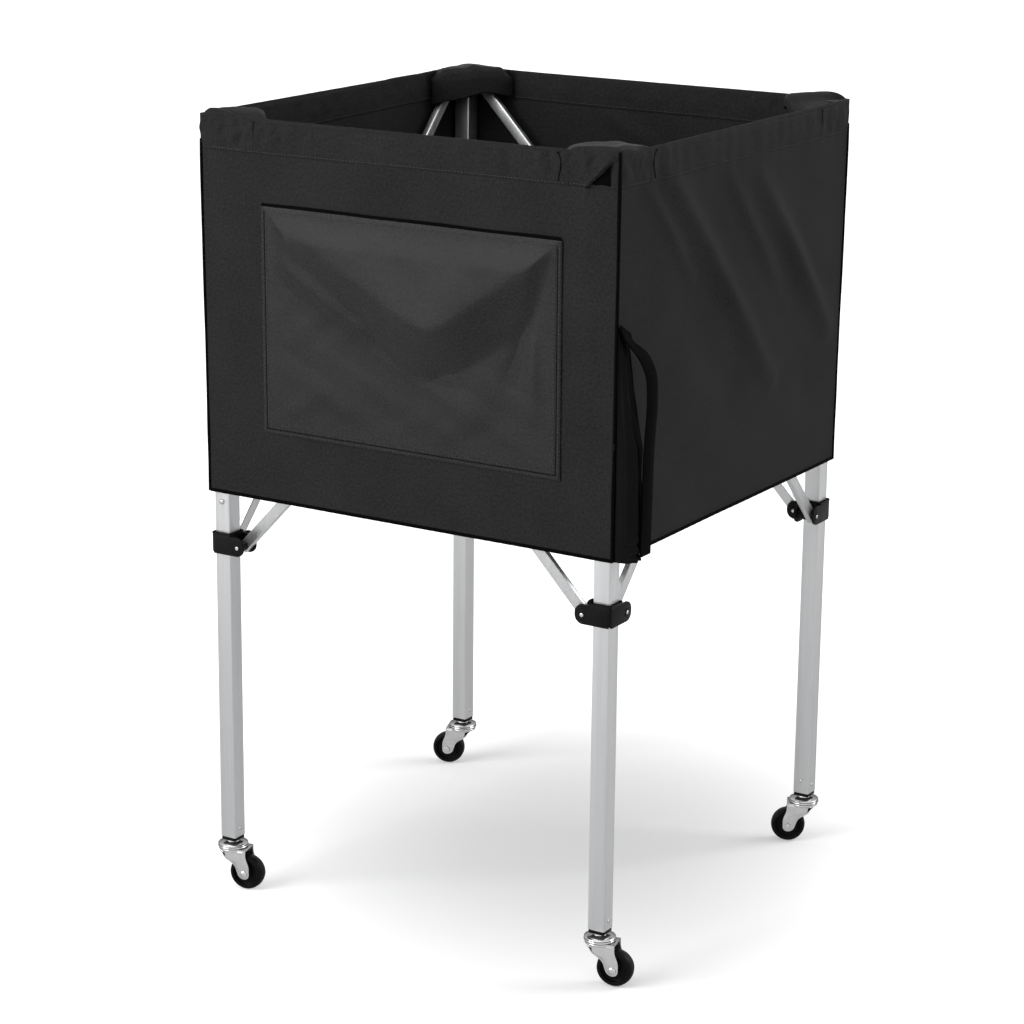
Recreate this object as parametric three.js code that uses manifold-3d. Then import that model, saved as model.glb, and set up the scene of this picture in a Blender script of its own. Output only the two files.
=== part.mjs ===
// A folding ball cart: four square legs on swivel casters, joined on each side by a crossed
// pair of bars. Each bar hangs from a bracket on one leg and stands on a collar that slides
// on the next leg, so pushing two legs together folds all four sides at once.
// A fabric bag with corner caps, a front pocket and a corner strap hangs around the legs.
// Lengths are in millimetres and +Z is up. The front is -Y.
import * as THREE from 'three';
import { ConvexGeometry } from 'three/addons/geometries/ConvexGeometry.js';
import { mergeVertices } from 'three/addons/utils/BufferGeometryUtils.js';
import Module from 'manifold-3d';

const wasm = await Module();
wasm.setup();

// Gap between pieces that touch.
const fit_gap = 0.3;

// Legs: square aluminium tube, open inside.
const leg_spacing = 540;
const leg_side = 22;
const leg_wall = 1.4;
const leg_corner_radius = 1.6;
const wheel_radius = 22.5;
const axle_to_leg = 47;
const leg_length = 914.5;
const leg_bottom = wheel_radius + axle_to_leg;
const leg_top = leg_bottom + leg_length;
const leg_half = leg_side / 2;
const half_spacing = leg_spacing / 2;

// Bars: flat rectangular tube, one pair crossing on each side.
const bar_height = 14;
const bar_thickness = 8;
const bar_wall = 1.3;
const bar_corner_radius = 1.4;
const bar_overhang = 6;
const bar_plane_gap = 2.5;
const bar_plane = (bar_thickness + bar_plane_gap) / 2;
const pivot_inset = 24;
const low_pivot_rise = 386;
const high_pivot_drop = 10.5;
const low_pivot_height = leg_bottom + low_pivot_rise;
const high_pivot_height = leg_top - high_pivot_drop;
const pin_radius = 2.7;
const bar_run = leg_spacing - 2 * pivot_inset;
const bar_rise = high_pivot_height - low_pivot_height;
const bar_length = Math.hypot(bar_run, bar_rise);
const bar_angle = Math.atan2(bar_rise, bar_run);

// Centre rivet of each crossed pair.
const centre_rivet_radius = 3;
const centre_head_radius = 5.5;
const centre_head_height = 1.8;
const centre_washer_radius = 6.5;

// Moulded sleeves with two forks each: a bracket at the top, a sliding collar below.
const sleeve_wall = 3;
const sleeve_play = 0.4;
const sleeve_inner_half = leg_half + sleeve_play;
const sleeve_outer_half = sleeve_inner_half + sleeve_wall;
const sleeve_corner_radius = 3;
const collar_below_pivot = 8.5;
const collar_above_pivot = 16;
const bracket_below_pivot = 16.5;
const collar_bottom = low_pivot_height - collar_below_pivot;
const collar_top = low_pivot_height + collar_above_pivot;
const bracket_bottom = high_pivot_height - bracket_below_pivot;
const bracket_roof = 3.5;
const ear_end = 33.5;
const ear_round = 9.5;
const ear_low_drop = 11;
const ear_high_rise = 13;
const ear_wall = 3;
const boss_radius = 6;
const rivet_head_radius = 3.6;
const rivet_head_height = 1.3;

// Plug in the foot of each leg, for the caster's stem.
const plug_flange_height = 4.4;
const plug_flange_half = 10.4;
const plug_height = 26;
const plug_corner_radius = 1.5;
const stem_radius = 4;
const stem_length = 26;

// Caster: race fixed to the stem, fork turning under it, wheel on an axle behind.
const wheel_width = 18;
const wheel_tread_round = 4.5;
const hub_radius = 7.5;
const hub_width = 21;
const web_width = 9;
const rim_inner_radius = 15.5;
const trail = 20;
const axle_radius = 3;
const axle_head_radius = 4.6;
const axle_head_height = 1.6;
const race_radius = 19.5;
const race_drop = 8.1;
const race_height = 6.2;
const race_top = leg_bottom - race_drop;
const race_bottom = race_top - race_height;
const race_neck_radius = 8;
const race_round = 2.4;
const crown_radius = 18.2;
const crown_thickness = 3;
const crown_reach = 22;
const kingpin_head_radius = 6.5;
const kingpin_head_height = 2.6;
const plate_thickness = 1.8;
const plate_gap_half = 11.2;
const plate_lead = 9;
const plate_end_radius = 6.8;
const plate_shoulder = 8;
const plate_rib_width = 4;
const plate_rib_height = 0.7;
const caster_headings = { front_left: 12, front_right: 12, rear_right: 206, rear_left: 200 };

// Bag: four side panels outside the legs, leaning out a little towards the top.
const bag_above_low_pivot = 68;
const bag_above_leg = 5.5;
const bag_bottom = low_pivot_height + bag_above_low_pivot;
const bag_top = leg_top + bag_above_leg;
const cloth_thickness = 3;
const panel_offset_low = 12;
const panel_offset_high = 16.5;
const floor_rise = 1.5;
const floor_height = bag_bottom + floor_rise;
const floor_thickness = 3;
const floor_corner_cut = 130;

// Caps over the bag's top corners.
const cap_reach = 62;
const cap_lap = 30;
const cap_rise = 10;
const cap_bottom = bag_top - cap_lap;
const cap_top = bag_top + cap_rise;
const cap_wall = 3;
const cap_flap_thickness = 2.5;
const cap_flap_offset = 8;
const cap_flap_rise = 6.5;
const cap_flap_bottom = cap_bottom + cap_flap_rise;

// Pocket sewn on the front panel.
const pocket_half_width = 208;
const pocket_above_bag = 86.5;
const pocket_below_top = 103.5;
const pocket_bottom = bag_bottom + pocket_above_bag;
const pocket_top = bag_top - pocket_below_top;
const pocket_thickness = 2.5;

// Corner gusset and its webbing strap, at the front right corner.
const gusset_height = 272.5;
const gusset_top = bag_bottom + gusset_height;
const gusset_width = 42;
const gusset_bulge = 26;
const gusset_mid_rise = 141.5;
const gusset_mid_height = bag_bottom + gusset_mid_rise;
const gusset_mid_bulge = 18;
const gusset_end_width = 5;
const gusset_end_bulge = 1.6;
const gusset_foot_rise = 21.5;
const gusset_foot_height = bag_bottom + gusset_foot_rise;
const gusset_side_in = 19;
const gusset_side_out = 38;
const strap_width = 24;
const strap_thickness = 2.4;
const strap_inset = 2;
const strap_front = half_spacing - strap_inset;
const strap_over_gusset = 4;
const strap_top = gusset_top + strap_over_gusset;
const strap_top_lap = 12;
const strap_shoulder_drop = 36;
const strap_shoulder_height = strap_top - strap_shoulder_drop;
const strap_shoulder_bulge = 22;
const strap_belly_drop = 110;
const strap_belly_height = strap_top - strap_belly_drop;
const strap_belly_bulge = 32.5;
const strap_waist_rise = 65;
const strap_waist_height = gusset_foot_height + strap_waist_rise;
const strap_waist_bulge = 29.5;
const strap_foot_drop = 15;
const strap_foot_height = gusset_foot_height - strap_foot_drop;

// Faces round each turned shape.
const round_sides = 20;
const wheel_sides = 24;
const hole_sides = 10;
const small_sides = 8;
const corner_steps = 2;
const ear_steps = 3;
const strap_steps = 20;
const quarter_turn = Math.PI / 2;
const degree = Math.PI / 180;

const finishes = {
  aluminium: { color: 0xc2c4c6, roughness: 0.38, metalness: 0.85 },
  plated: { color: 0xcfd1d3, roughness: 0.22, metalness: 0.95 },
  moulding: { color: 0x161617, roughness: 0.5, metalness: 0 },
  tread: { color: 0x111112, roughness: 0.62, metalness: 0 },
  cloth: { color: 0x3a3b3d, roughness: 0.9, metalness: 0 },
  pocket_cloth: { color: 0x434446, roughness: 0.9, metalness: 0 },
  webbing: { color: 0x141415, roughness: 0.85, metalness: 0 },
};

const cart = new THREE.Group();
cart.name = 'ball_cart';

// A three.js geometry as a closed solid that can be added to or cut from another.
function solidOf(geometry) {
  const bare = geometry.index ? geometry.clone() : geometry;
  bare.deleteAttribute('normal');
  bare.deleteAttribute('uv');
  const merged = mergeVertices(bare, 1e-4);
  return new wasm.Manifold(new wasm.Mesh({
    numProp: 3,
    vertProperties: new Float32Array(merged.attributes.position.array),
    triVerts: new Uint32Array(merged.index.array),
  }));
}

function joined(solids) {
  return solids.reduce((whole, next) => whole.add(next));
}

function turned(solid, quarterTurns) {
  return solid.rotate([0, 0, 90 * quarterTurns]);
}

// One named sub-part with a finish of its own.
function addPart(name, solid, finish) {
  const mesh = solid.getMesh();
  const geometry = new THREE.BufferGeometry();
  const position = new THREE.BufferAttribute(new Float32Array(mesh.vertProperties), 3);
  geometry.setAttribute('position', position);
  geometry.setIndex(new THREE.BufferAttribute(new Uint32Array(mesh.triVerts), 1));
  geometry.computeVertexNormals();
  const part = new THREE.Mesh(geometry, new THREE.MeshStandardMaterial(finishes[finish]));
  part.name = name;
  cart.add(part);
  return part;
}

function block(x0, x1, y0, y1, z0, z1) {
  const geometry = new THREE.BoxGeometry(x1 - x0, y1 - y0, z1 - z0);
  geometry.translate((x0 + x1) / 2, (y0 + y1) / 2, (z0 + z1) / 2);
  return solidOf(geometry);
}

function hullOf(points) {
  return solidOf(new ConvexGeometry(points.map((p) => new THREE.Vector3(...p))));
}

// A square outline with rounded corners, drawn about the origin.
function roundedRect(halfWidth, halfHeight, radius) {
  const outline = new THREE.Shape();
  outline.absarc(halfWidth - radius, -halfHeight + radius, radius, -quarter_turn, 0);
  outline.absarc(halfWidth - radius, halfHeight - radius, radius, 0, quarter_turn);
  outline.absarc(-halfWidth + radius, halfHeight - radius, radius, quarter_turn, 2 * quarter_turn);
  outline.absarc(-halfWidth + radius, -halfHeight + radius, radius, 2 * quarter_turn, 3 * quarter_turn);
  return outline;
}

function prism(outline, depth, steps) {
  const settings = { depth, bevelEnabled: false, curveSegments: steps };
  return solidOf(new THREE.ExtrudeGeometry(outline, settings));
}

// An outline drawn in X and Z, standing upright and running in Y from y0 to y1.
function uprightPrism(outline, y0, y1, steps) {
  const settings = { depth: y1 - y0, bevelEnabled: false, curveSegments: steps };
  const geometry = new THREE.ExtrudeGeometry(outline, settings);
  geometry.rotateX(quarter_turn);
  geometry.translate(0, y1, 0);
  return solidOf(geometry);
}

function uprightRod(radius, z0, z1, sides) {
  const geometry = new THREE.CylinderGeometry(radius, radius, z1 - z0, sides);
  geometry.rotateX(quarter_turn);
  geometry.translate(0, 0, (z0 + z1) / 2);
  return solidOf(geometry);
}

// A rod along Y at height z, from y0 to y1.
function crossRod(radius, x, z, y0, y1, sides) {
  const geometry = new THREE.CylinderGeometry(radius, radius, y1 - y0, sides);
  geometry.translate(x, (y0 + y1) / 2, z);
  return solidOf(geometry);
}

// A profile of [radius, height] pairs turned about the upright axis.
function turnedProfile(profile, sides) {
  const points = profile.map((p) => new THREE.Vector2(p[0], p[1]));
  const geometry = new THREE.LatheGeometry([...points, points[0].clone()], sides);
  geometry.rotateX(quarter_turn);
  return solidOf(geometry);
}

// Corner number 0 is front left. Each next corner is a quarter turn on about the centre.
const corners = ['front_left', 'front_right', 'rear_right', 'rear_left'];
const sides = ['front', 'right', 'rear', 'left'];

// Local shapes are drawn round the front left leg's axis, with the front side along +X
// and the left side along +Y, then moved out and turned to their corner.
function atCorner(solid, corner) {
  return turned(solid.translate([-half_spacing, -half_spacing, 0]), corner);
}

function swappedSides(solid) {
  return solid.mirror([1, -1, 0]);
}

function legSolid() {
  const outer = prism(roundedRect(leg_half, leg_half, leg_corner_radius), leg_top - leg_bottom, corner_steps);
  const inner_half = leg_half - leg_wall;
  const cut_length = leg_top - leg_bottom + 2 * leg_wall;
  const inner = prism(roundedRect(inner_half, inner_half, leg_corner_radius - leg_wall / 2), cut_length, 1);
  return outer.subtract(inner.translate([0, 0, -leg_wall])).translate([0, 0, leg_bottom]);
}

// One ear of a fork in the XZ plane, rounded at its outer end.
function earOutline(pivotHeight) {
  const low = pivotHeight - ear_low_drop;
  const high = pivotHeight + ear_high_rise;
  const outline = new THREE.Shape();
  outline.moveTo(sleeve_inner_half, low);
  outline.lineTo(ear_end - ear_round, low);
  outline.absarc(ear_end - ear_round, low + ear_round, ear_round, -quarter_turn, 0);
  outline.absarc(ear_end - ear_round, high - ear_round, ear_round, 0, quarter_turn);
  outline.lineTo(sleeve_inner_half, high);
  outline.closePath();
  return outline;
}

// A fork along +X with its pin. The bar runs between barLow and barHigh in Y.
function fork(pivotHeight, barLow, barHigh) {
  const inside = sleeve_outer_half - ear_wall;
  const outline = earOutline(pivotHeight);
  const pieces = [
    uprightPrism(outline, -sleeve_outer_half, -inside, ear_steps),
    uprightPrism(outline, inside, sleeve_outer_half, ear_steps),
    crossRod(boss_radius, pivot_inset, pivotHeight, -inside - fit_gap, barLow - fit_gap, small_sides),
    crossRod(boss_radius, pivot_inset, pivotHeight, barHigh + fit_gap, inside + fit_gap, small_sides),
    crossRod(pin_radius, pivot_inset, pivotHeight, -inside, inside, small_sides),
    rivetHead(pivotHeight, 1),
    rivetHead(pivotHeight, -1),
  ];
  return joined(pieces);
}

// The domed end of the pin, standing out of an ear.
function rivetHead(pivotHeight, way) {
  const profile = [
    [0, -ear_wall / 2],
    [rivet_head_radius, -ear_wall / 2],
    [rivet_head_radius * 2 / 3, rivet_head_height],
    [0, rivet_head_height],
  ];
  const head = turnedProfile(profile, small_sides).rotate([way > 0 ? -90 : 90, 0, 0]);
  return head.translate([pivot_inset, way * sleeve_outer_half, pivotHeight]);
}

function sleeve(z0, z1) {
  const outer = prism(roundedRect(sleeve_outer_half, sleeve_outer_half, sleeve_corner_radius), z1 - z0, corner_steps);
  return outer.translate([0, 0, z0]);
}

function legHole(z0, z1) {
  return block(-sleeve_inner_half, sleeve_inner_half, -sleeve_inner_half, sleeve_inner_half, z0, z1);
}

const outer_bar = [-bar_plane - bar_thickness / 2, -bar_plane + bar_thickness / 2];
const inner_bar = [bar_plane - bar_thickness / 2, bar_plane + bar_thickness / 2];

// The collar slides on the leg. The bars' lower ends turn in its forks.
function collarSolid() {
  const body = joined([
    sleeve(collar_bottom, collar_top),
    fork(low_pivot_height, ...inner_bar),
    swappedSides(fork(low_pivot_height, ...outer_bar)),
  ]);
  return body.subtract(legHole(collar_bottom - ear_end, collar_top + ear_end));
}

// The bracket closes the leg's top. The bars' upper ends turn in its forks.
function bracketSolid() {
  const body = joined([
    sleeve(bracket_bottom, leg_top + fit_gap + bracket_roof),
    fork(high_pivot_height, ...outer_bar),
    swappedSides(fork(high_pivot_height, ...inner_bar)),
  ]);
  return body.subtract(legHole(bracket_bottom - ear_end, leg_top + fit_gap));
}

// A bar of the front side, hanging from its upper pivot at the left or the right.
function barSolid(way, plane) {
  const half_length = bar_length / 2 + bar_overhang;
  const outer = prism(roundedRect(bar_height / 2, bar_thickness / 2, bar_corner_radius), 2 * half_length, corner_steps - 1);
  const hollow = roundedRect(bar_height / 2 - bar_wall, bar_thickness / 2 - bar_wall, bar_corner_radius / 2);
  const inner = prism(hollow, 2 * half_length + 2 * bar_wall, 1);
  let tube = outer.subtract(inner.translate([0, 0, -bar_wall])).translate([0, 0, -half_length]);
  for (const share of [-1, 0, 1]) {
    const radius = (share === 0 ? centre_rivet_radius : pin_radius) + fit_gap;
    tube = tube.subtract(crossRod(radius, 0, share * bar_length / 2, -bar_thickness, bar_thickness, small_sides));
  }
  const lean = way * (quarter_turn - bar_angle) / degree;
  const middle = (low_pivot_height + high_pivot_height) / 2;
  return tube.rotate([0, -lean, 0]).translate([0, plane - half_spacing, middle]);
}

// The rivet and the washer that hold a crossed pair together at the middle.
function centreRivetSolid() {
  const reach = bar_plane + bar_thickness / 2 + fit_gap;
  const middle = (low_pivot_height + high_pivot_height) / 2;
  const washer_half = bar_plane_gap / 2 - fit_gap;
  const pieces = [
    crossRod(centre_rivet_radius, 0, 0, -reach - fit_gap, reach + fit_gap, small_sides),
    crossRod(centre_washer_radius, 0, 0, -washer_half, washer_half, hole_sides),
    crossRod(centre_head_radius, 0, 0, -reach - centre_head_height, -reach, small_sides),
    crossRod(centre_head_radius, 0, 0, reach, reach + centre_head_height, small_sides),
  ];
  return joined(pieces).translate([0, -half_spacing, middle]);
}

function plugSolid() {
  const half = leg_half - leg_wall - fit_gap;
  const flange_bottom = leg_bottom - fit_gap - plug_flange_height;
  const flange = prism(roundedRect(plug_flange_half, plug_flange_half, plug_corner_radius), plug_flange_height, corner_steps);
  const body = prism(roundedRect(half, half, plug_corner_radius), plug_height, corner_steps);
  const hole = uprightRod(stem_radius + fit_gap, race_top, race_top + stem_length + fit_gap, hole_sides);
  return flange.add(body.translate([0, 0, plug_flange_height - fit_gap / 2]))
    .translate([0, 0, flange_bottom]).subtract(hole);
}

// The upper race with its stem above and the kingpin that carries the fork below.
function raceSolid() {
  const neck_top = leg_bottom - 2 * fit_gap - plug_flange_height;
  const crown_bottom = race_bottom - fit_gap - crown_thickness;
  const head_top = crown_bottom - fit_gap;
  const profile = [
    [0, head_top - kingpin_head_height],
    [kingpin_head_radius, head_top - kingpin_head_height],
    [kingpin_head_radius, head_top],
    [stem_radius, head_top],
    [stem_radius, race_bottom],
    [race_radius - race_round / 2, race_bottom],
    [race_radius, race_bottom + race_round],
    [race_radius - race_round / 2, race_top - race_round / 2],
    [race_neck_radius, race_top],
    [race_neck_radius, neck_top],
    [stem_radius, neck_top],
    [stem_radius, race_top + stem_length],
    [0, race_top + stem_length],
  ];
  return turnedProfile(profile, round_sides);
}

// One side plate of the fork: wide under the crown, rounded round the axle.
function plateOutline() {
  const crown_top = race_bottom - fit_gap;
  const crown_bottom = crown_top - crown_thickness;
  const outline = new THREE.Shape();
  outline.moveTo(-plate_lead, crown_bottom - plate_end_radius / 3);
  outline.lineTo(trail - plate_end_radius, wheel_radius - plate_end_radius / 6);
  outline.absarc(trail, wheel_radius, plate_end_radius, 2 * quarter_turn, 4 * quarter_turn);
  outline.lineTo(crown_reach, crown_bottom - plate_shoulder);
  outline.lineTo(crown_reach, crown_top);
  outline.lineTo(-plate_lead, crown_top);
  outline.closePath();
  return outline;
}

// The raised rib that is pressed into each plate.
function plateRib(side) {
  const crown_bottom = race_bottom - fit_gap - crown_thickness;
  const outline = new THREE.Shape();
  outline.moveTo(plate_rib_width / 2, crown_bottom);
  outline.lineTo(trail - plate_rib_width / 2, wheel_radius + axle_head_radius + plate_rib_width / 2);
  outline.lineTo(trail + plate_rib_width / 2, wheel_radius + axle_head_radius + plate_rib_width / 2);
  outline.lineTo(plate_rib_width / 2 + plate_rib_width * 2, crown_bottom);
  outline.closePath();
  const y0 = plate_gap_half + plate_thickness / 2;
  const y1 = plate_gap_half + plate_thickness + plate_rib_height;
  return side > 0 ? uprightPrism(outline, y0, y1, 1) : uprightPrism(outline, -y1, -y0, 1);
}

function casterForkSolid() {
  const crown_top = race_bottom - fit_gap;
  const crown_bottom = crown_top - crown_thickness;
  const outer = plate_gap_half + plate_thickness;
  const outline = plateOutline();
  const body = joined([
    uprightRod(crown_radius, crown_bottom, crown_top, round_sides),
    block(0, crown_reach, -outer, outer, crown_bottom, crown_top),
    uprightPrism(outline, plate_gap_half, outer, ear_steps * 2),
    uprightPrism(outline, -outer, -plate_gap_half, ear_steps * 2),
    plateRib(1),
    plateRib(-1),
  ]);
  const kingpin_hole = uprightRod(stem_radius + fit_gap, crown_bottom - crown_thickness, crown_top + crown_thickness, hole_sides);
  const axle_hole = crossRod(axle_radius + fit_gap, trail, wheel_radius, -hub_width, hub_width, hole_sides);
  return body.subtract(kingpin_hole).subtract(axle_hole);
}

function axleSolid() {
  const face = plate_gap_half + plate_thickness + fit_gap;
  return joined([
    crossRod(axle_radius, trail, wheel_radius, -face - fit_gap, face + fit_gap, small_sides),
    crossRod(axle_head_radius, trail, wheel_radius, -face - axle_head_height, -face, 6),
    crossRod(axle_head_radius, trail, wheel_radius, face, face + axle_head_height, small_sides),
  ]);
}

// The wheel's section: hub, thin web and a rim with a rounded tread.
function wheelSolid() {
  const rim_half = wheel_width / 2;
  const tread_side = wheel_radius - wheel_tread_round / 4;
  const profile = [
    [axle_radius + fit_gap, -hub_width / 2],
    [hub_radius, -hub_width / 2],
    [hub_radius, -web_width / 2],
    [rim_inner_radius, -web_width / 2],
    [rim_inner_radius + wheel_tread_round / 4, -rim_half],
    [wheel_radius - wheel_tread_round, -rim_half],
    [tread_side, -rim_half + wheel_tread_round],
    [wheel_radius, 0],
    [tread_side, rim_half - wheel_tread_round],
    [wheel_radius - wheel_tread_round, rim_half],
    [rim_inner_radius + wheel_tread_round / 4, rim_half],
    [rim_inner_radius, web_width / 2],
    [hub_radius, web_width / 2],
    [hub_radius, hub_width / 2],
    [axle_radius + fit_gap, hub_width / 2],
  ];
  return turnedProfile(profile, wheel_sides).rotate([90, 0, 0]).translate([trail, 0, wheel_radius]);
}

function addLegAndCaster(corner) {
  const name = corners[corner];
  addPart(`leg_${name}`, atCorner(legSolid(), corner), 'aluminium');
  addPart(`top_bracket_${name}`, atCorner(bracketSolid(), corner), 'moulding');
  addPart(`sliding_collar_${name}`, atCorner(collarSolid(), corner), 'moulding');
  addPart(`caster_plug_${name}`, atCorner(plugSolid(), corner), 'moulding');
  addPart(`swivel_race_${name}`, atCorner(raceSolid(), corner), 'plated');
  const heading = caster_headings[name] - 90 * corner;
  const swung = (solid) => atCorner(solid.rotate([0, 0, heading]), corner);
  addPart(`caster_fork_${name}`, swung(casterForkSolid()), 'plated');
  addPart(`axle_${name}`, swung(axleSolid()), 'plated');
  addPart(`wheel_${name}`, swung(wheelSolid()), 'tread');
}

function addBars(side) {
  const name = sides[side];
  addPart(`${name}_outer_bar`, turned(barSolid(1, -bar_plane), side), 'aluminium');
  addPart(`${name}_inner_bar`, turned(barSolid(-1, bar_plane), side), 'aluminium');
  addPart(`${name}_centre_rivet`, turned(centreRivetSolid(), side), 'plated');
}

// How far the bag's cloth stands from the legs' axes at a height, on its inner face.
function panelOffset(height) {
  const share = (height - bag_bottom) / (bag_top - bag_bottom);
  return panel_offset_low + share * (panel_offset_high - panel_offset_low);
}

// A panel of the front side between two heights. Its ends stop at the given offsets.
function panelSolid(low, high, endInset) {
  const points = [];
  for (const z of [low, high]) {
    const inner = half_spacing + panelOffset(z);
    const end = inner + cloth_thickness - endInset;
    points.push([-end, -inner, z], [end, -inner, z]);
    points.push([-end, -inner - cloth_thickness, z], [end, -inner - cloth_thickness, z]);
  }
  return hullOf(points);
}

function addPanels() {
  const between = cloth_thickness + fit_gap;
  addPart('front_panel', panelSolid(bag_bottom, bag_top, 0), 'cloth');
  addPart('right_panel', turned(panelSolid(bag_bottom, bag_top, between), 1), 'cloth');
  addPart('rear_panel', turned(panelSolid(bag_bottom, bag_top, 0), 2), 'cloth');
  addPart('left_panel', turned(panelSolid(bag_bottom, bag_top, between), 3), 'cloth');
}

// Half of the bag's floor, with its corners cut off for the legs and the bars.
function floorHalf() {
  const edge = half_spacing + panel_offset_low - fit_gap;
  const cut = half_spacing - floor_corner_cut;
  const outline = new THREE.Shape();
  outline.moveTo(-cut, -edge);
  outline.lineTo(cut, -edge);
  outline.lineTo(edge, -cut);
  outline.lineTo(edge, -fit_gap / 2);
  outline.lineTo(-edge, -fit_gap / 2);
  outline.lineTo(-edge, -cut);
  outline.closePath();
  return prism(outline, floor_thickness, 1).translate([0, 0, floor_height]);
}

// A corner cap: two walls outside the panels, a flat top and a flap across the inside.
function capSolid() {
  const inner = panel_offset_high + cloth_thickness + fit_gap;
  const outer = inner + cap_wall;
  const outline = new THREE.Shape();
  outline.moveTo(-outer, -outer);
  outline.lineTo(cap_reach, -outer);
  outline.lineTo(cap_reach, -cap_flap_offset);
  outline.lineTo(-cap_flap_offset, cap_reach);
  outline.lineTo(-outer, cap_reach);
  outline.closePath();
  const whole = prism(outline, cap_top - cap_bottom, 1).translate([0, 0, cap_bottom]);
  const room = new THREE.Shape();
  const far = cap_reach + cap_wall;
  const flap = cap_flap_thickness * Math.SQRT2;
  room.moveTo(-inner, -inner);
  room.lineTo(far, -inner);
  room.lineTo(far, -cap_flap_offset - cap_wall - flap);
  room.lineTo(-cap_flap_offset - cap_wall - flap, far);
  room.lineTo(-inner, far);
  room.closePath();
  const roof = cap_top - cap_wall;
  const hollow = prism(room, roof - cap_bottom + cap_wall, 1).translate([0, 0, cap_bottom - cap_wall]);
  const beyond = new THREE.Shape();
  beyond.moveTo(far * 2, -inner);
  beyond.lineTo(far * 2, far * 2);
  beyond.lineTo(-inner, far * 2);
  beyond.lineTo(-inner, far);
  beyond.lineTo(far, -inner);
  beyond.closePath();
  const under = prism(beyond, cap_flap_bottom - cap_bottom + cap_wall, 1);
  return whole.subtract(hollow).subtract(under.translate([0, 0, cap_bottom - cap_wall]));
}

function pocketSolid() {
  const points = [];
  for (const z of [pocket_bottom, pocket_top]) {
    const back = half_spacing + panelOffset(z) + cloth_thickness + fit_gap;
    for (const x of [-pocket_half_width, pocket_half_width]) {
      points.push([x, -back, z], [x, -back - pocket_thickness, z]);
    }
  }
  return hullOf(points);
}

// Face of the right panel at a height, on its outside.
function rightFace(height) {
  return half_spacing + panelOffset(height) + cloth_thickness + fit_gap;
}

// The dark pleated gusset: a wedge on the right panel beside the front corner.
function gussetSolid() {
  const points = [];
  const stations = [
    [bag_bottom, gusset_width, gusset_bulge],
    [gusset_foot_height, gusset_width, gusset_bulge],
    [gusset_mid_height, gusset_width, gusset_mid_bulge],
  ];
  for (const [z, width, bulge] of stations) {
    const face = rightFace(z);
    const front = rightFace(z) - fit_gap;
    points.push([face, -front, z], [face, -front + width, z]);
    points.push([rightFace(gusset_foot_height) + bulge, -front + gusset_side_in, z]);
    points.push([rightFace(gusset_foot_height) + bulge, -front + gusset_side_out, z]);
  }
  const top = rightFace(gusset_top);
  points.push([top, -top, gusset_top], [top, -top + gusset_end_width, gusset_top]);
  points.push([top + gusset_end_bulge, -top + gusset_end_width / 2, gusset_top]);
  return hullOf(points);
}

// The webbing strap: a band that bows out from the corner seam and comes back at its foot.
function strapSolid() {
  const face = rightFace(strap_top);
  const foot = rightFace(gusset_foot_height) + gusset_bulge + fit_gap;
  const path = new THREE.CatmullRomCurve3([
    new THREE.Vector3(face, 0, strap_top),
    new THREE.Vector3(face + 4 * fit_gap, 0, strap_top - strap_top_lap),
    new THREE.Vector3(rightFace(strap_shoulder_height) + strap_shoulder_bulge, 0, strap_shoulder_height),
    new THREE.Vector3(rightFace(strap_belly_height) + strap_belly_bulge, 0, strap_belly_height),
    new THREE.Vector3(rightFace(strap_waist_height) + strap_waist_bulge, 0, strap_waist_height),
    new THREE.Vector3(foot, 0, gusset_foot_height),
    new THREE.Vector3(foot, 0, strap_foot_height),
  ]);
  const inner = path.getPoints(strap_steps);
  const outer = inner.map((point, i) => {
    const along = path.getTangent(i / strap_steps);
    return new THREE.Vector3(point.x - along.z * strap_thickness, 0, point.z + along.x * strap_thickness);
  });
  const outline = new THREE.Shape([...inner, ...outer.reverse()].map((p) => new THREE.Vector2(p.x, p.z)));
  return uprightPrism(outline, -strap_front, -strap_front + strap_width, 1);
}

for (const corner of [0, 1, 2, 3]) {
  addLegAndCaster(corner);
}
for (const side of [0, 1, 2, 3]) {
  addBars(side);
}
addPanels();
addPart('front_floor_half', floorHalf(), 'cloth');
addPart('rear_floor_half', turned(floorHalf(), 2), 'cloth');
for (const corner of [0, 1, 2, 3]) {
  addPart(`corner_cap_${corners[corner]}`, atCorner(capSolid(), corner), 'cloth');
}
addPart('front_pocket', pocketSolid(), 'pocket_cloth');
addPart('corner_gusset', gussetSolid(), 'webbing');
addPart('carry_strap', strapSolid(), 'webbing');

export default cart;
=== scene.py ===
# %% [markdown]
# # A folding ball cart
# The solids of this cart come from a CAD model: four square legs on casters, crossed bars,
# sliding collars and a plain box for the bag. This lesson loads them as a fixed frame and
# models each piece again at full detail around them, so that every new piece stands where
# its solid stands and moves with the same body when the cart folds.

# %% Load the solids
import math

import bmesh
import bpy
import numpy as np
from mathutils import Matrix, Vector


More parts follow.
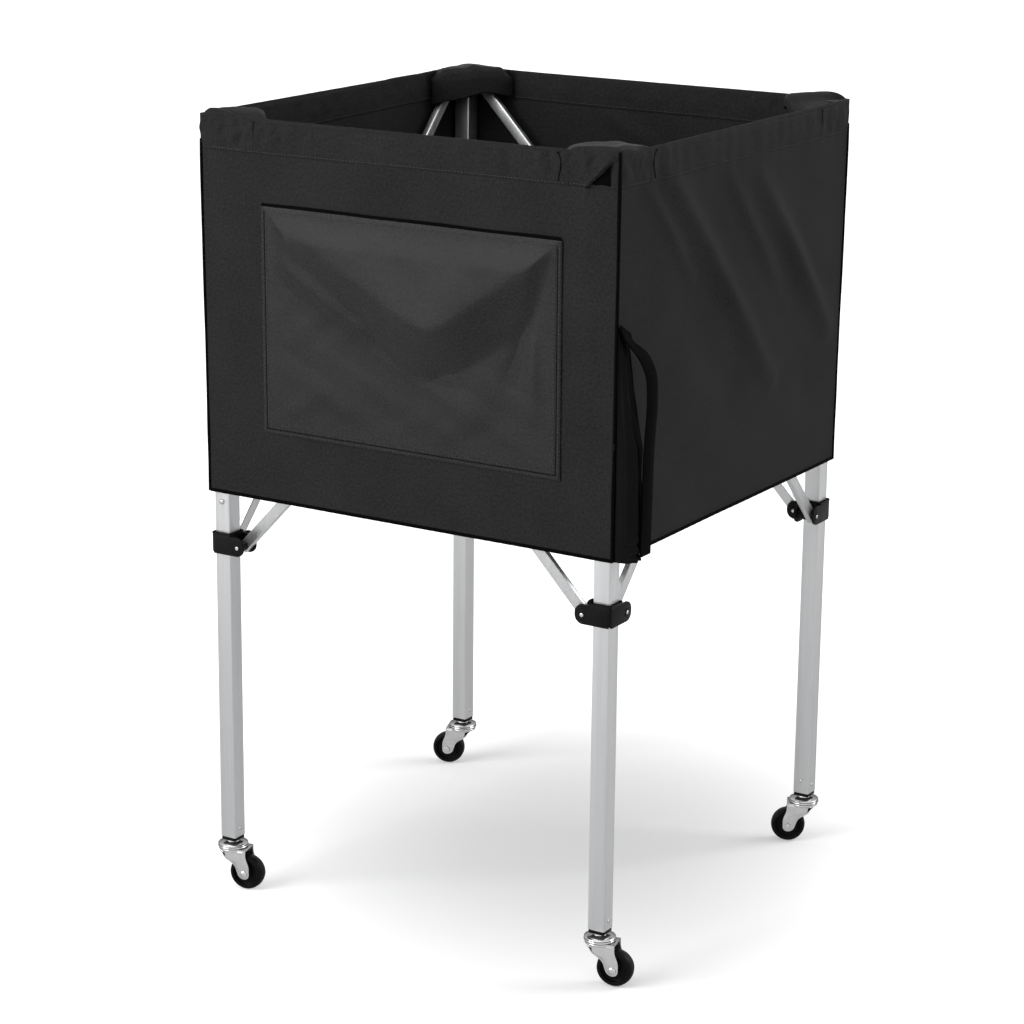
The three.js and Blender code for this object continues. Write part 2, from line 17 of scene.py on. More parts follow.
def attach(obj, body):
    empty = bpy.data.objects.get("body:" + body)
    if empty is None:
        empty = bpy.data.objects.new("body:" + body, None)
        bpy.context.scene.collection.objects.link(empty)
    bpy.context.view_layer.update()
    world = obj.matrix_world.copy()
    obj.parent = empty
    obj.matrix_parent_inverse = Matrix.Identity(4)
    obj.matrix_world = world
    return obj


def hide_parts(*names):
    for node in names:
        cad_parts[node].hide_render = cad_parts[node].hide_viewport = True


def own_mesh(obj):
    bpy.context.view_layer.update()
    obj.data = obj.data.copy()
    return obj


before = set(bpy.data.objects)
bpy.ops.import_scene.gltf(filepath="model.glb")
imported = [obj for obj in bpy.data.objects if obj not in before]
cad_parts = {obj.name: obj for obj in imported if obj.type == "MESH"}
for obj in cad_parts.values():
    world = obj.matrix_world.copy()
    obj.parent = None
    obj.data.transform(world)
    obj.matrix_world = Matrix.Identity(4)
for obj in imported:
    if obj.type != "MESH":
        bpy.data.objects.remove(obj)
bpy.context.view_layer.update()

# %% [markdown]
# ## The cart's measures
# All places are in metres, with +Z up and the front at -Y. The four legs stand on the corners
# of a square. A shape made for the front left corner or the front side serves the other three
# after quarter turns about the middle of the cart, so only those turns are written here.

# %% Measures shared by many pieces
HALF = 0.27
LEG_HALF = 0.011
LEG_FOOT, LEG_TOP = 0.0695, 0.984
BAG_FOOT, BAG_TOP = 0.5235, 0.9895
CLOTH_LOW, CLOTH_HIGH = 0.0150, 0.0178
CORNERS = ("front_left", "front_right", "rear_right", "rear_left")
SIDES = ("front", "right", "rear", "left")
HEADINGS = (12, 12, 206, 200)
SIDE_BODY = {"front": "frame_front_left", "right": "frame_front_right",
             "rear": "frame_rear_left", "left": "frame_front_left"}


def quarter(turns):
    return Matrix.Rotation(math.radians(90 * turns), 4, "Z")


def at_corner(turns):
    return quarter(turns) @ Matrix.Translation((-HALF, -HALF, 0))


print("legs stand", 2 * HALF, "m apart")

# %% [markdown]
# ## Camera
# The photograph looks down a little on the front right corner with a long lens, so the
# uprights stay almost parallel. Its place was found from the corners of the legs and the bag.

# %% Camera
def add_camera(place, azimuth, elevation, roll, lens):
    data = bpy.data.cameras.new("photo_camera")
    data.lens = lens
    data.clip_end = 60
    camera = bpy.data.objects.new("photo_camera", data)
    bpy.context.scene.collection.objects.link(camera)
    turn = (Matrix.Rotation(math.radians(azimuth), 4, "Z")
            @ Matrix.Rotation(math.radians(90 - elevation), 4, "X")
            @ Matrix.Rotation(math.radians(roll), 4, "Z"))
    camera.matrix_world = Matrix.Translation(place) @ turn
    bpy.context.scene.camera = camera
    return camera


camera = add_camera((1.857, -3.048, 1.460), 31.685, 15.436, 0.56, 102.9)
print("camera lens", camera.data.lens, "mm")

# %% [markdown]
# ## Nodes
# A shader is a graph of small nodes. Each helper below adds one node, and gives every input
# either a plain value or another node's output.

# %% Node helpers
def wire(tree, value, socket):
    if isinstance(value, bpy.types.NodeSocket):
        tree.links.new(value, socket)
    else:
        socket.default_value = (*value, 1) if socket.type == "RGBA" else value


def add_node(tree, kind, inputs, **settings):
    node = tree.nodes.new(kind)
    for label, value in settings.items():
        setattr(node, label, value)
    for label, value in inputs.items():
        wire(tree, value, node.inputs[label])
    return node.outputs


def math_node(tree, operation, *values):
    return add_node(tree, "ShaderNodeMath", dict(enumerate(values)), operation=operation)[0]


def noise_node(tree, vector, scale, detail, roughness):
    inputs = {"Vector": vector, "Scale": scale, "Detail": detail, "Roughness": roughness}
    return add_node(tree, "ShaderNodeTexNoise", inputs)["Fac"]


def ramp_node(tree, value, low, high, out_low=0.0, out_high=1.0):
    inputs = {"Value": value, "From Min": low, "From Max": high, "To Min": out_low, "To Max": out_high}
    return add_node(tree, "ShaderNodeMapRange", inputs)["Result"]


def mix_colours(tree, factor, first, second):
    inputs = {"Factor": factor, "A": first, "B": second}
    return add_node(tree, "ShaderNodeMix", inputs, data_type="RGBA")["Result"]


def object_place(tree):
    return add_node(tree, "ShaderNodeTexCoord", {})["Object"]


def cloth_place(tree):
    return add_node(tree, "ShaderNodeUVMap", {}, uv_map="UVMap")["UV"]


def new_material(name, **plain):
    material = bpy.data.materials.new(name)
    material.use_nodes = True
    tree = material.node_tree
    shader = tree.nodes["Principled BSDF"]
    for label, value in plain.items():
        wire(tree, value, shader.inputs[label.replace("_", " ")])
    return material, tree, shader


print("node helpers ready")

# %% [markdown]
# ## Light and floor
# A product picture on white has a large soft light from the front left, a smaller one high on
# the right, which rakes over the folds, and a weak one above. The world shows white to the
# camera and to mirror-like reflections, and gives the object a plainer, darker light of its
# own. The floor also glows for the camera, little under the cart and fully far away, so that
# it fades to white outwards. That glow is painted shadow and light: its low middle paints a
# soft shadow under the cart, and its strong outer part hides the lamps' own shadows.

# %% Light and floor
def add_soft_light(name, place, aim, size, watts):
    data = bpy.data.lights.new(name, "AREA")
    data.size = size
    data.energy = watts
    lamp = bpy.data.objects.new(name, data)
    bpy.context.scene.collection.objects.link(lamp)
    turn = (Vector(aim) - Vector(place)).to_track_quat("-Z", "Y").to_matrix().to_4x4()
    lamp.matrix_world = Matrix.Translation(place) @ turn


def light_the_world(ambient):
    world = bpy.data.worlds.new("studio")
    bpy.context.scene.world = world
    world.use_nodes = True
    tree = world.node_tree
    tree.nodes.clear()
    path = add_node(tree, "ShaderNodeLightPath", {})
    either = math_node(tree, "MAXIMUM", path["Is Camera Ray"], path["Is Transmission Ray"])
    seen = math_node(tree, "MAXIMUM", either, path["Is Glossy Ray"])
    tone = mix_colours(tree, seen, (ambient, ambient, ambient * 1.01), (1, 1, 1))
    back = add_node(tree, "ShaderNodeBackground", {"Color": tone})[0]
    add_node(tree, "ShaderNodeOutputWorld", {"Surface": back})


# The floor's glow paints a shadow: low under the cart and rising outwards, it draws a soft dark patch there
# and hides the lamps' own shadows further off.
PAINTED_SHADOW_CENTRE, PAINTED_SHADOW_TURN, PAINTED_SHADOW_SIZE = (0.027, 0.052, 0), math.radians(31.7), (3.0, 3.9, 1)
PAINTED_SHADOW_STOPS = [(0.0, 0.08), (0.03, 0.09), (0.05, 0.12), (0.07, 0.17), (0.09, 0.23), (0.11, 0.31),
              (0.14, 0.48), (0.22, 0.70), (0.6, 0.92), (1.0, 1.0)]


def glow_with_painted_shadow(tree):
    """How much the floor glows for the camera: little at the cart and fully far away, a painted shadow under
    the cart.
    """
    placed = add_node(tree, "ShaderNodeMapping", {
        "Vector": object_place(tree), "Location": PAINTED_SHADOW_CENTRE,
        "Rotation": (0, 0, PAINTED_SHADOW_TURN), "Scale": PAINTED_SHADOW_SIZE}, vector_type="TEXTURE")["Vector"]
    away = add_node(tree, "ShaderNodeVectorMath", {0: placed}, operation="LENGTH")["Value"]
    painted_shadow_ramp = tree.nodes.new("ShaderNodeValToRGB")
    wire(tree, away, painted_shadow_ramp.inputs["Fac"])
    painted_shadow_ramp.color_ramp.interpolation = "B_SPLINE"
    stops = painted_shadow_ramp.color_ramp.elements
    for spot, level in PAINTED_SHADOW_STOPS[1:-1]:
        stops.new(spot)
    for stop, (spot, level) in zip(stops, PAINTED_SHADOW_STOPS):
        stop.position, stop.color = spot, (level, level, level, 1)
    seen = add_node(tree, "ShaderNodeLightPath", {})["Is Camera Ray"]
    strength = math_node(tree, "MULTIPLY", painted_shadow_ramp.outputs["Color"], seen)
    return add_node(tree, "ShaderNodeEmission", {"Strength": strength})[0]


def add_floor(size, tone):
    bpy.ops.mesh.primitive_plane_add(size=size)
    floor = bpy.context.object
    floor.name = "studio_floor"
    paper, tree, shader = new_material("studio_paper", Base_Color=(tone, tone, tone), Roughness=0.9,
                                       Specular_IOR_Level=0.1)
    both = add_node(tree, "ShaderNodeAddShader", {0: shader.outputs[0], 1: glow_with_painted_shadow(tree)})[0]
    wire(tree, both, tree.nodes["Material Output"].inputs["Surface"])
    floor.data.materials.append(paper)


bpy.context.scene.view_settings.view_transform = "Standard"
light_the_world(0.35)
add_soft_light("key_light", (-1.9, -3.0, 2.1), (0, 0, 0.6), 2.4, 98)
add_soft_light("side_light", (2.7, 2.2, 2.2), (0, 0, 0.6), 1.8, 62)
add_soft_light("top_light", (0.0, -1.3, 3.0), (0, 0, 0.7), 2.2, 12)
add_floor(60, 0.86)
print("three soft lights and a pale floor")

# %% [markdown]
# ## Shared shader effects
# Three effects come back on several finishes: a woven thread pattern, the fine lines that
# drawing leaves along a metal tube, and uneven rubbing that changes tone and gloss in patches.
# Each is a node group with named inputs, placed in a material with that material's own values.

# %% Group helpers
def new_group(name, inputs, outputs):
    tree = bpy.data.node_groups.new(name, "ShaderNodeTree")
    tree.interface.new_socket("Vector", in_out="INPUT", socket_type="NodeSocketVector")
    for label, value in inputs.items():
        kind = "NodeSocketVector" if isinstance(value, tuple) else "NodeSocketFloat"
        tree.interface.new_socket(label, in_out="INPUT", socket_type=kind).default_value = value
    for label in outputs:
        tree.interface.new_socket(label, in_out="OUTPUT", socket_type="NodeSocketFloat")
    return tree, tree.nodes.new("NodeGroupInput").outputs


def close_group(tree, **outputs):
    out = tree.nodes.new("NodeGroupOutput")
    for label, value in outputs.items():
        wire(tree, value, out.inputs[label])
    print("group", tree.name)
    return tree


def place_group(tree, group, **inputs):
    return add_node(tree, "ShaderNodeGroup", inputs, node_tree=group)


# %% Woven thread
def build_weave():
    tree, given = new_group("woven_thread", {"Threads": 900.0, "Heather": 0.5}, ("Height", "Tone"))
    where, threads = given["Vector"], given["Threads"]
    apart = add_node(tree, "ShaderNodeSeparateXYZ", {0: where})
    turns = math_node(tree, "MULTIPLY", threads, math.tau)
    across = math_node(tree, "SINE", math_node(tree, "MULTIPLY", apart["X"], turns))
    along = math_node(tree, "SINE", math_node(tree, "MULTIPLY", apart["Y"], turns))
    crossed = math_node(tree, "MULTIPLY", across, along)

    def uneven(share, detail, roughness):
        noise = noise_node(tree, where, math_node(tree, "MULTIPLY", threads, share), detail, roughness)
        return math_node(tree, "MULTIPLY", math_node(tree, "SUBTRACT", noise, 0.5), given["Heather"])

    cloud = math_node(tree, "SUBTRACT", noise_node(tree, where, 9.0, 3.0, 0.55), 0.5)
    broad = math_node(tree, "MULTIPLY_ADD", cloud, 0.5, uneven(0.33, 2.0, 0.6))
    uneven_tone = math_node(tree, "ADD", uneven(0.7, 3.0, 0.7), broad)
    tone = math_node(tree, "ADD", math_node(tree, "MULTIPLY_ADD", crossed, 0.12, 0.5), uneven_tone)
    return close_group(tree, Height=math_node(tree, "MULTIPLY_ADD", crossed, 0.5, 0.5), Tone=tone)


weave_group = build_weave()


# %% Drawn lines along a tube
def build_drawn():
    tree, given = new_group("drawn_lines", {"Fineness": 900.0, "Stretch": (1, 1, 0.01)},
                            ("Height", "Tone", "Scuff"))
    drawn = add_node(tree, "ShaderNodeVectorMath", {0: given["Vector"], 1: given["Stretch"]},
                     operation="MULTIPLY")[0]
    fine = noise_node(tree, drawn, given["Fineness"], 2.0, 0.6)
    broad = noise_node(tree, drawn, math_node(tree, "MULTIPLY", given["Fineness"], 0.12), 2.0, 0.5)
    spots = noise_node(tree, given["Vector"], 26.0, 5.0, 0.7)
    tone = math_node(tree, "MULTIPLY_ADD", fine, 0.5, math_node(tree, "MULTIPLY", broad, 0.5))
    return close_group(tree, Height=fine, Tone=tone, Scuff=ramp_node(tree, spots, 0.58, 0.75))


drawn_group = build_drawn()


# %% Rubbed patches
def build_rubbed():
    tree, given = new_group("rubbed_patches", {"Grain": 1400.0, "Patch": 35.0},
                            ("Height", "Patches", "Specks"))
    where = given["Vector"]
    grain = noise_node(tree, where, given["Grain"], 2.0, 0.55)
    patch = noise_node(tree, where, given["Patch"], 4.0, 0.6)
    speck = noise_node(tree, where, math_node(tree, "MULTIPLY", given["Patch"], 9.0), 2.0, 0.5)
    return close_group(tree, Height=grain, Patches=ramp_node(tree, patch, 0.35, 0.7),
                       Specks=ramp_node(tree, speck, 0.66, 0.72))


rubbed_group = build_rubbed()

# %% [markdown]
# ## Finishes
# Each material below keeps its own shader. Plain values sit on the shader's sockets, and only
# what changes over the surface is linked: colour, roughness and bump.

# %% Material helpers
def grey(level):
    return level, level, level


def surface(tree, shader, colour, rough, height, relief, depth):
    wire(tree, colour, shader.inputs["Base Color"])
    wire(tree, rough, shader.inputs["Roughness"])
    inputs = {"Strength": relief, "Distance": depth, "Height": height}
    wire(tree, add_node(tree, "ShaderNodeBump", inputs)["Normal"], shader.inputs["Normal"])


# %% Cloth, webbing and thread
def cloth_material(name, dark, light, threads, heather, relief, gloss, rough):
    material, tree, shader = new_material(name, Roughness=0.6, Specular_IOR_Level=gloss)
    weave = place_group(tree, weave_group, Vector=cloth_place(tree), Threads=threads, Heather=heather)
    colour = mix_colours(tree, ramp_node(tree, weave["Tone"], 0.2, 0.8), dark, light)
    rough = ramp_node(tree, weave["Tone"], 0.2, 0.8, *rough)
    surface(tree, shader, colour, rough, weave["Height"], relief, 0.0004)
    return material


bag_cloth = cloth_material("bag_cloth", grey(0.0150), (0.0310, 0.0310, 0.0305),
                           900.0, 1.0, 0.35, 0.018, (0.40, 0.56))
pocket_cloth = cloth_material("pocket_cloth", grey(0.0100), (0.0220, 0.0220, 0.0215),
                              900.0, 1.1, 0.35, 0.16, (0.22, 0.33))
black_webbing = cloth_material("black_webbing", grey(0.0016), grey(0.0042),
                               420.0, 0.5, 0.6, 0.006, (0.4, 0.55))
black_nylon = cloth_material("black_nylon", grey(0.0014), grey(0.0032),
                             1400.0, 0.6, 0.2, 0.09, (0.25, 0.36))
print("cloth finishes ready")


# %% Metals
def drawn_metal(name, dark, light, rough, stretch, fineness, relief, rim=None):
    """Drawn or plated metal. With a rim colour, painted shade darkens it where it turns away from the eye."""
    material, tree, shader = new_material(name, Metallic=0.92, Roughness=rough[0])
    lines = place_group(tree, drawn_group, Vector=object_place(tree), Fineness=fineness, Stretch=stretch)
    colour = mix_colours(tree, lines["Tone"], dark, light)
    if rim:
        # Painted shade: the colour runs to the rim colour where the surface turns away from the eye.
        painted_rim_shade = add_node(tree, "ShaderNodeLayerWeight", {"Blend": 0.5})["Facing"]
        colour = mix_colours(tree, math_node(tree, "POWER", painted_rim_shade, 1.6), colour, rim)
        wire(tree, grey(0.35), shader.inputs["Specular Tint"])
    polish = ramp_node(tree, lines["Tone"], 0.3, 0.7, *rough)
    worn = math_node(tree, "MULTIPLY_ADD", lines["Scuff"], 0.12, polish)
    surface(tree, shader, colour, worn, lines["Height"], relief, 0.0002)
    return material


upright_aluminium = drawn_metal("upright_aluminium", (0.52, 0.525, 0.53), (0.74, 0.745, 0.75),
                                (0.3, 0.46), (1, 1, 0.01), 900.0, 0.25)
# Plated steel gets a near-black rim colour, painted shade along its turned edges.
plated_steel = drawn_metal("plated_steel", grey(0.50), (0.80, 0.80, 0.79),
                           (0.12, 0.24), (1, 1, 1), 260.0, 0.12, grey(0.03))
print("metal finishes ready")


# %% Mouldings and rubber
def moulded(name, dark, light, rough, grain, patch, relief, gloss):
    material, tree, shader = new_material(name, Specular_IOR_Level=gloss)
    rubbed = place_group(tree, rubbed_group, Vector=object_place(tree), Grain=grain, Patch=patch)
    dusty = tuple(c * 1.9 for c in light)
    colour = mix_colours(tree, rubbed["Specks"], mix_colours(tree, rubbed["Patches"], dark, light), dusty)
    rough = ramp_node(tree, rubbed["Patches"], 0, 1, *rough)
    surface(tree, shader, colour, rough, rubbed["Height"], relief, 0.0003)
    return material


black_moulding = moulded("black_moulding", (0.004, 0.004, 0.0042), (0.0075, 0.0075, 0.0077),
                         (0.34, 0.5), 1500.0, 40.0, 0.2, 0.09)
wheel_rubber = moulded("wheel_rubber", (0.003, 0.003, 0.0031), grey(0.0058),
                       (0.36, 0.54), 1100.0, 60.0, 0.25, 0.08)
thread = moulded("thread", grey(0.05), (0.10, 0.10, 0.098), (0.7, 0.85), 4000.0, 300.0, 0.3, 0.05)
dark_thread = moulded("dark_thread", grey(0.0015), grey(0.004), (0.7, 0.85), 4000.0, 300.0, 0.3, 0.02)
print("moulding, rubber and thread finishes ready")

# %% [markdown]
# ## Modelling helpers
# Most hard pieces here start as a block, a ring or a disc at its real size and place. They
# are then shaped in edit mode, as by hand: the faces or edges are picked in code by where
# they lie, and bevelled, inset, extruded or bridged. A last fine bevel catches the light on
# every edge, which is what makes a small metal part look made rather than drawn.

# %% Modelling helpers
def take(piece):
    bpy.ops.object.select_all(action="DESELECT")
    piece.select_set(True)
    bpy.context.view_layer.objects.active = piece
    return piece


def settle(name):
    bpy.ops.object.transform_apply(location=True, rotation=True, scale=True)
    piece = bpy.context.object
    piece.name = piece.data.name = name
    return piece


def block(name, low, high):
    low, high = Vector(low), Vector(high)
    bpy.ops.mesh.primitive_cube_add(size=1, location=(low + high) / 2)
    bpy.context.object.scale = high - low
    return settle(name)


def rod(name, radius, start, end, sides):
    start, end = Vector(start), Vector(end)
    way = end - start
    turn = way.to_track_quat("Z", "Y").to_euler()
    bpy.ops.mesh.primitive_cylinder_add(vertices=sides, radius=radius, depth=way.length,
                                        location=(start + end) / 2, rotation=turn)
    return settle(name)


def pick(kind, test):
    bpy.ops.mesh.select_mode(type=kind)
    bpy.ops.mesh.select_all(action="DESELECT")
    form = bmesh.from_edit_mesh(bpy.context.object.data)
    parts = {"VERT": form.verts, "EDGE": form.edges, "FACE": form.faces}[kind]
    for part in [part for part in parts if test(part)]:
        part.select_set(True)
    bmesh.update_edit_mesh(bpy.context.object.data)


def edit(piece):
    take(piece)
    bpy.ops.object.mode_set(mode="EDIT")


def done():
    bpy.ops.object.mode_set(mode="OBJECT")


def middle_of(edge):
    return (edge.verts[0].co + edge.verts[1].co) / 2


def runs_along(edge, axis, share=0.99):
    way = edge.verts[1].co - edge.verts[0].co
    return way.length > 0 and abs(way[axis]) / way.length > share


def round_long_edges(piece, radius, segments):
    edit(piece)
    pick("EDGE", lambda e: runs_along(e, 2))
    bpy.ops.mesh.bevel(offset=radius, segments=segments, affect="EDGES")
    done()


def open_both_ends(piece, wall):
    edit(piece)
    pick("FACE", lambda f: abs(f.normal.z) > 0.99)
    bpy.ops.mesh.inset(thickness=wall, depth=0)
    bpy.ops.mesh.bridge_edge_loops()
    done()


def soften(piece, width, segments=2, angle=38):
    take(piece)
    edges = piece.modifiers.new("edges", "BEVEL")
    edges.width, edges.segments = width, segments
    edges.limit_method, edges.angle_limit = "ANGLE", math.radians(angle)
    bpy.ops.object.modifier_apply(modifier="edges")
    bpy.ops.object.shade_smooth_by_angle(angle=math.radians(40))
    return piece


def joined(name, pieces):
    take(pieces[0])
    for piece in pieces:
        piece.select_set(True)
    if len(pieces) > 1:
        bpy.ops.object.join()
    piece = bpy.context.object
    piece.name = piece.data.name = name
    return piece


def copied(piece, name, turn):
    data = piece.data.copy()
    data.transform(turn)
    if turn.determinant() < 0:
        data.flip_normals()
    twin = bpy.data.objects.new(name, data)
    data.name = name
    bpy.context.scene.collection.objects.link(twin)
    return twin


def drop(*pieces):
    for piece in pieces:
        bpy.data.objects.remove(piece)


def dress(piece, material, body, *nodes, slot=None):
    """Give a piece its finish, its body and the solids it replaces.

    Blender numbers a material whose name the loaded solids already use, as in bag_cloth.001.
    The slot argument is not used.
    """
    piece.data.materials.clear()
    piece.data.materials.append(material)
    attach(piece, body)
    if nodes:
        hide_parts(*nodes)
    return piece


def place_at_corners(*forms, headed=False):
    """Copy each (form, name, material, body, replaced solid) to all corners, then drop it."""
    for turn, corner in enumerate(CORNERS):
        heading = math.radians(HEADINGS[turn] - 90 * turn) if headed else 0
        place = at_corner(turn) @ Matrix.Rotation(heading, 4, "Z")
        for form, name, material, body, *nodes in forms:
            piece = copied(form, f"{name}_{corner}", place)
            dress(piece, material, f"{body}_{corner}", *[f"{node}_{corner}" for node in nodes])
    drop(*[form[0] for form in forms])


SWAP_SIDES = Matrix(((0, 1, 0, 0), (1, 0, 0, 0), (0, 0, 1, 0), (0, 0, 0, 1)))
print("helpers ready")

# %% [markdown]
# ## Legs
# Each leg is a square extruded aluminium tube with softly rounded corners. A block gets its
# four long edges bevelled, and its two end faces are inset by the wall and bridged, which
# leaves a real open tube. A rivet through the foot holds the caster's plug.

# %% Legs
LEG_WALL, LEG_ROUND = 0.0014, 0.0016


def domed(name, radius, height, base, way, sides=20):
    """A low button head: a disc whose outer face is inset and raised twice."""
    base, way = Vector(base), Vector(way)
    piece = rod(name, radius, base - way * height * 0.3, base + way * height * 0.35, sides)
    edit(piece)
    pick("FACE", lambda f: f.normal.dot(way) > 0.99 and len(f.verts) > 4)
    bpy.ops.mesh.inset(thickness=radius * 0.22, depth=height * 0.4)
    bpy.ops.mesh.inset(thickness=radius * 0.3, depth=height * 0.25)
    done()
    bpy.ops.object.shade_smooth_by_angle(angle=math.radians(50))
    return piece


leg_form = block("leg_form", (-LEG_HALF, -LEG_HALF, LEG_FOOT), (LEG_HALF, LEG_HALF, LEG_TOP))
round_long_edges(leg_form, LEG_ROUND, 4)
open_both_ends(leg_form, LEG_WALL)
soften(leg_form, 0.0003)
for turn, corner in enumerate(CORNERS):
    leg = copied(leg_form, f"leg_tube_{corner}", at_corner(turn))
    dress(leg, upright_aluminium, f"frame_{corner}", f"leg_{corner}", slot="aluminium_tube")
drop(leg_form)
print("legs", LEG_TOP - LEG_FOOT, "m long")

# %% Foot rivets and the catch button
RIVET, RIVET_UP, OUTER_RIVET_UP = (0.0021, 0.0012), 0.0805, 0.087
BUTTON, BUTTON_UP = (0.0034, 0.0022), 0.511
for turn, corner in enumerate(CORNERS):
    x, y, _ = at_corner(turn).translation
    heads = [domed("foot_rivet", *RIVET, (x + side * LEG_HALF, y, RIVET_UP), (side, 0, 0), 12)
             for side in (-1, 1)]
    if corner == "rear_right":
        heads.append(domed("foot_rivet", *RIVET, (x, y - LEG_HALF, OUTER_RIVET_UP), (0, -1, 0), 12))
    dress(joined(f"foot_rivets_{corner}", heads), plated_steel, f"frame_{corner}")
button = domed("catch_button", *BUTTON, (-HALF, -HALF - LEG_HALF, BUTTON_UP), (0, -1, 0))
dress(button, plated_steel, "frame_front_left")
print("a rivet through each foot")

# %% [markdown]
# ## Crossed bars
# Each side has two flat tubes that cross like scissors. One tube is modelled upright at the
# middle of the front side, leaned over to its real angle, and copied to the other sides. The
# outer one runs just outside the legs' middle plane and the inner one just inside it.

# %% Crossed bars
BAR_LENGTH, BAR_LEAN, BAR_PLANE, CROSSING = 0.7264, 43.525, 0.00525, 0.7145
BAR_WIDE, BAR_THICK, BAR_WALL, BAR_ROUND = 0.014, 0.008, 0.0013, 0.0014
bar_box = Vector((BAR_WIDE, BAR_THICK, BAR_LENGTH)) / 2
bar_form = block("bar_form", -bar_box, bar_box)
round_long_edges(bar_form, BAR_ROUND, 3)
open_both_ends(bar_form, BAR_WALL)
soften(bar_form, 0.0003)
for turn, side in enumerate(SIDES):
    for kind, way in (("outer", 1), ("inner", -1)):
        lean = Matrix.Rotation(math.radians(-way * BAR_LEAN), 4, "Y")
        place = Matrix.Translation((0, -way * BAR_PLANE - HALF, CROSSING))
        bar = copied(bar_form, f"{side}_{kind}_tube", quarter(turn) @ place @ lean)
        dress(bar, upright_aluminium, f"{side}_{kind}", f"{side}_{kind}_bar", slot="aluminium_tube")
drop(bar_form)
print("eight bars,", BAR_LENGTH, "m long")

# %% Rivets where the bars cross
RIVET_REACH, RIVET_RADIUS = BAR_PLANE + 0.0043, 0.003
WASHER_RADIUS, WASHER_HALF, CROSS_HEAD = 0.0065, 0.00095, (0.0055, 0.0018)
cross_form = joined("cross_form", [
    rod("pin", RIVET_RADIUS, (0, -RIVET_REACH, 0), (0, RIVET_REACH, 0), 20),
    rod("washer", WASHER_RADIUS, (0, -WASHER_HALF, 0), (0, WASHER_HALF, 0), 28),
    *[domed("head", *CROSS_HEAD, (0, way * RIVET_REACH, 0), (0, way, 0)) for way in (-1, 1)]])
CROSS_BODY = {"front": "front_outer", "right": "right_outer", "rear": "rear_inner", "left": "left_inner"}
for turn, side in enumerate(SIDES):
    place = quarter(turn) @ Matrix.Translation((0, -HALF, CROSSING))
    rivet = copied(cross_form, f"{side}_cross_rivet", place)
    dress(rivet, plated_steel, CROSS_BODY[side], f"{side}_centre_rivet")
drop(cross_form)
print("a rivet at each crossing,", CROSSING, "m up")

# %% [markdown]
# ## Collars and top brackets
# The bars' ends turn in moulded black forks. Above, a bracket closes the leg. Below, a collar
# slides up the leg when the cart folds. Both are a thick square sleeve with two forks at
# right angles, so one fork is modelled along +X and swapped across the corner for the other.
# The outer cheek of each fork runs on over the sleeve as one smooth plate with a round end.

# %% One fork
SLEEVE_IN, SLEEVE_OUT, EAR_END, PIVOT_IN = 0.0114, 0.0144, 0.0335, 0.024
CHEEK_WALL, CHEEK_BELOW, CHEEK_ABOVE, CHEEK_ROUND = 0.003, 0.011, 0.013, 0.0108
BOSS_RADIUS, SEAT_RADIUS, PIN_RADIUS, PIN_REACH = 0.006, 0.0056, 0.0027, 0.0125
PIN_HEAD, CHEEK_START = (0.0026, 0.0012), -0.0112


def cheek(start, side_low, side_high, pivot):
    piece = block("cheek", (start, side_low, pivot - CHEEK_BELOW), (EAR_END, side_high, pivot + CHEEK_ABOVE))
    edit(piece)
    pick("EDGE", lambda e: runs_along(e, 1) and middle_of(e).x > EAR_END - 0.001)
    bpy.ops.mesh.bevel(offset=CHEEK_ROUND, segments=10, affect="EDGES")
    done()
    return soften(piece, 0.0006, 3, 60)


def across_fork(name, radius, start, end, pivot, sides):
    return rod(name, radius, (PIVOT_IN, start, pivot), (PIVOT_IN, end, pivot), sides)


def fork(pivot, bar_side):
    inside = SLEEVE_OUT - CHEEK_WALL
    near, far = (bar_side * BAR_PLANE + side * BAR_THICK / 2 for side in (-1, 1))
    parts = [cheek(CHEEK_START, -SLEEVE_OUT - 0.0002, -inside, pivot),
             cheek(SLEEVE_IN, inside, SLEEVE_OUT, pivot),
             across_fork("boss", BOSS_RADIUS, -inside - 0.0005, near - 0.0003, pivot, 24),
             across_fork("boss", BOSS_RADIUS, far + 0.0003, inside + 0.0005, pivot, 24)]
    for way in (-1, 1):
        face = way * SLEEVE_OUT
        ring = across_fork("seat", SEAT_RADIUS, face - way * 0.001, face + way * 0.0006, pivot, 28)
        parts.append(soften(ring, 0.0003, 2, 60))
    return parts


def pins(pivot):
    heads = [domed("pin_head", *PIN_HEAD, (PIVOT_IN, way * (SLEEVE_OUT + 0.0002), pivot), (0, way, 0))
             for way in (-1, 1)]
    return [across_fork("pin", PIN_RADIUS, -PIN_REACH, PIN_REACH, pivot, 16), *heads]


def both_forks(name, parts, mirrored):
    swapped = [copied(part, "swapped", SWAP_SIDES) for part in mirrored]
    drop(*mirrored)
    return joined(name, [*parts, *swapped])


print("forks reach", EAR_END, "m from the leg's middle")

# %% Collar
COLLAR_PIVOT, COLLAR_LOW, COLLAR_RIM, COLLAR_HIGH = 0.4555, 0.447, 0.4693, 0.4715
RIM_HALF, RIM_WALL = 0.0148, 0.0034


def sleeve(low, high, roofed):
    piece = block("sleeve", (-SLEEVE_OUT, -SLEEVE_OUT, low), (SLEEVE_OUT, SLEEVE_OUT, high))
    round_long_edges(piece, 0.003, 5)
    if roofed:
        edit(piece)
        pick("FACE", lambda f: f.normal.z < -0.99)
        bpy.ops.mesh.inset(thickness=SLEEVE_OUT - SLEEVE_IN, depth=0)
        rise = LEG_TOP + 0.0003 - low
        bpy.ops.mesh.extrude_region_move(TRANSFORM_OT_translate={"value": (0, 0, rise)})
        done()
    else:
        open_both_ends(piece, SLEEVE_OUT - SLEEVE_IN)
    return soften(piece, 0.0007, 3)


def rim(low, high):
    piece = block("rim", (-RIM_HALF, -RIM_HALF, low), (RIM_HALF, RIM_HALF, high))
    round_long_edges(piece, RIM_WALL, 5)
    open_both_ends(piece, RIM_WALL)
    return soften(piece, 0.0005, 2)


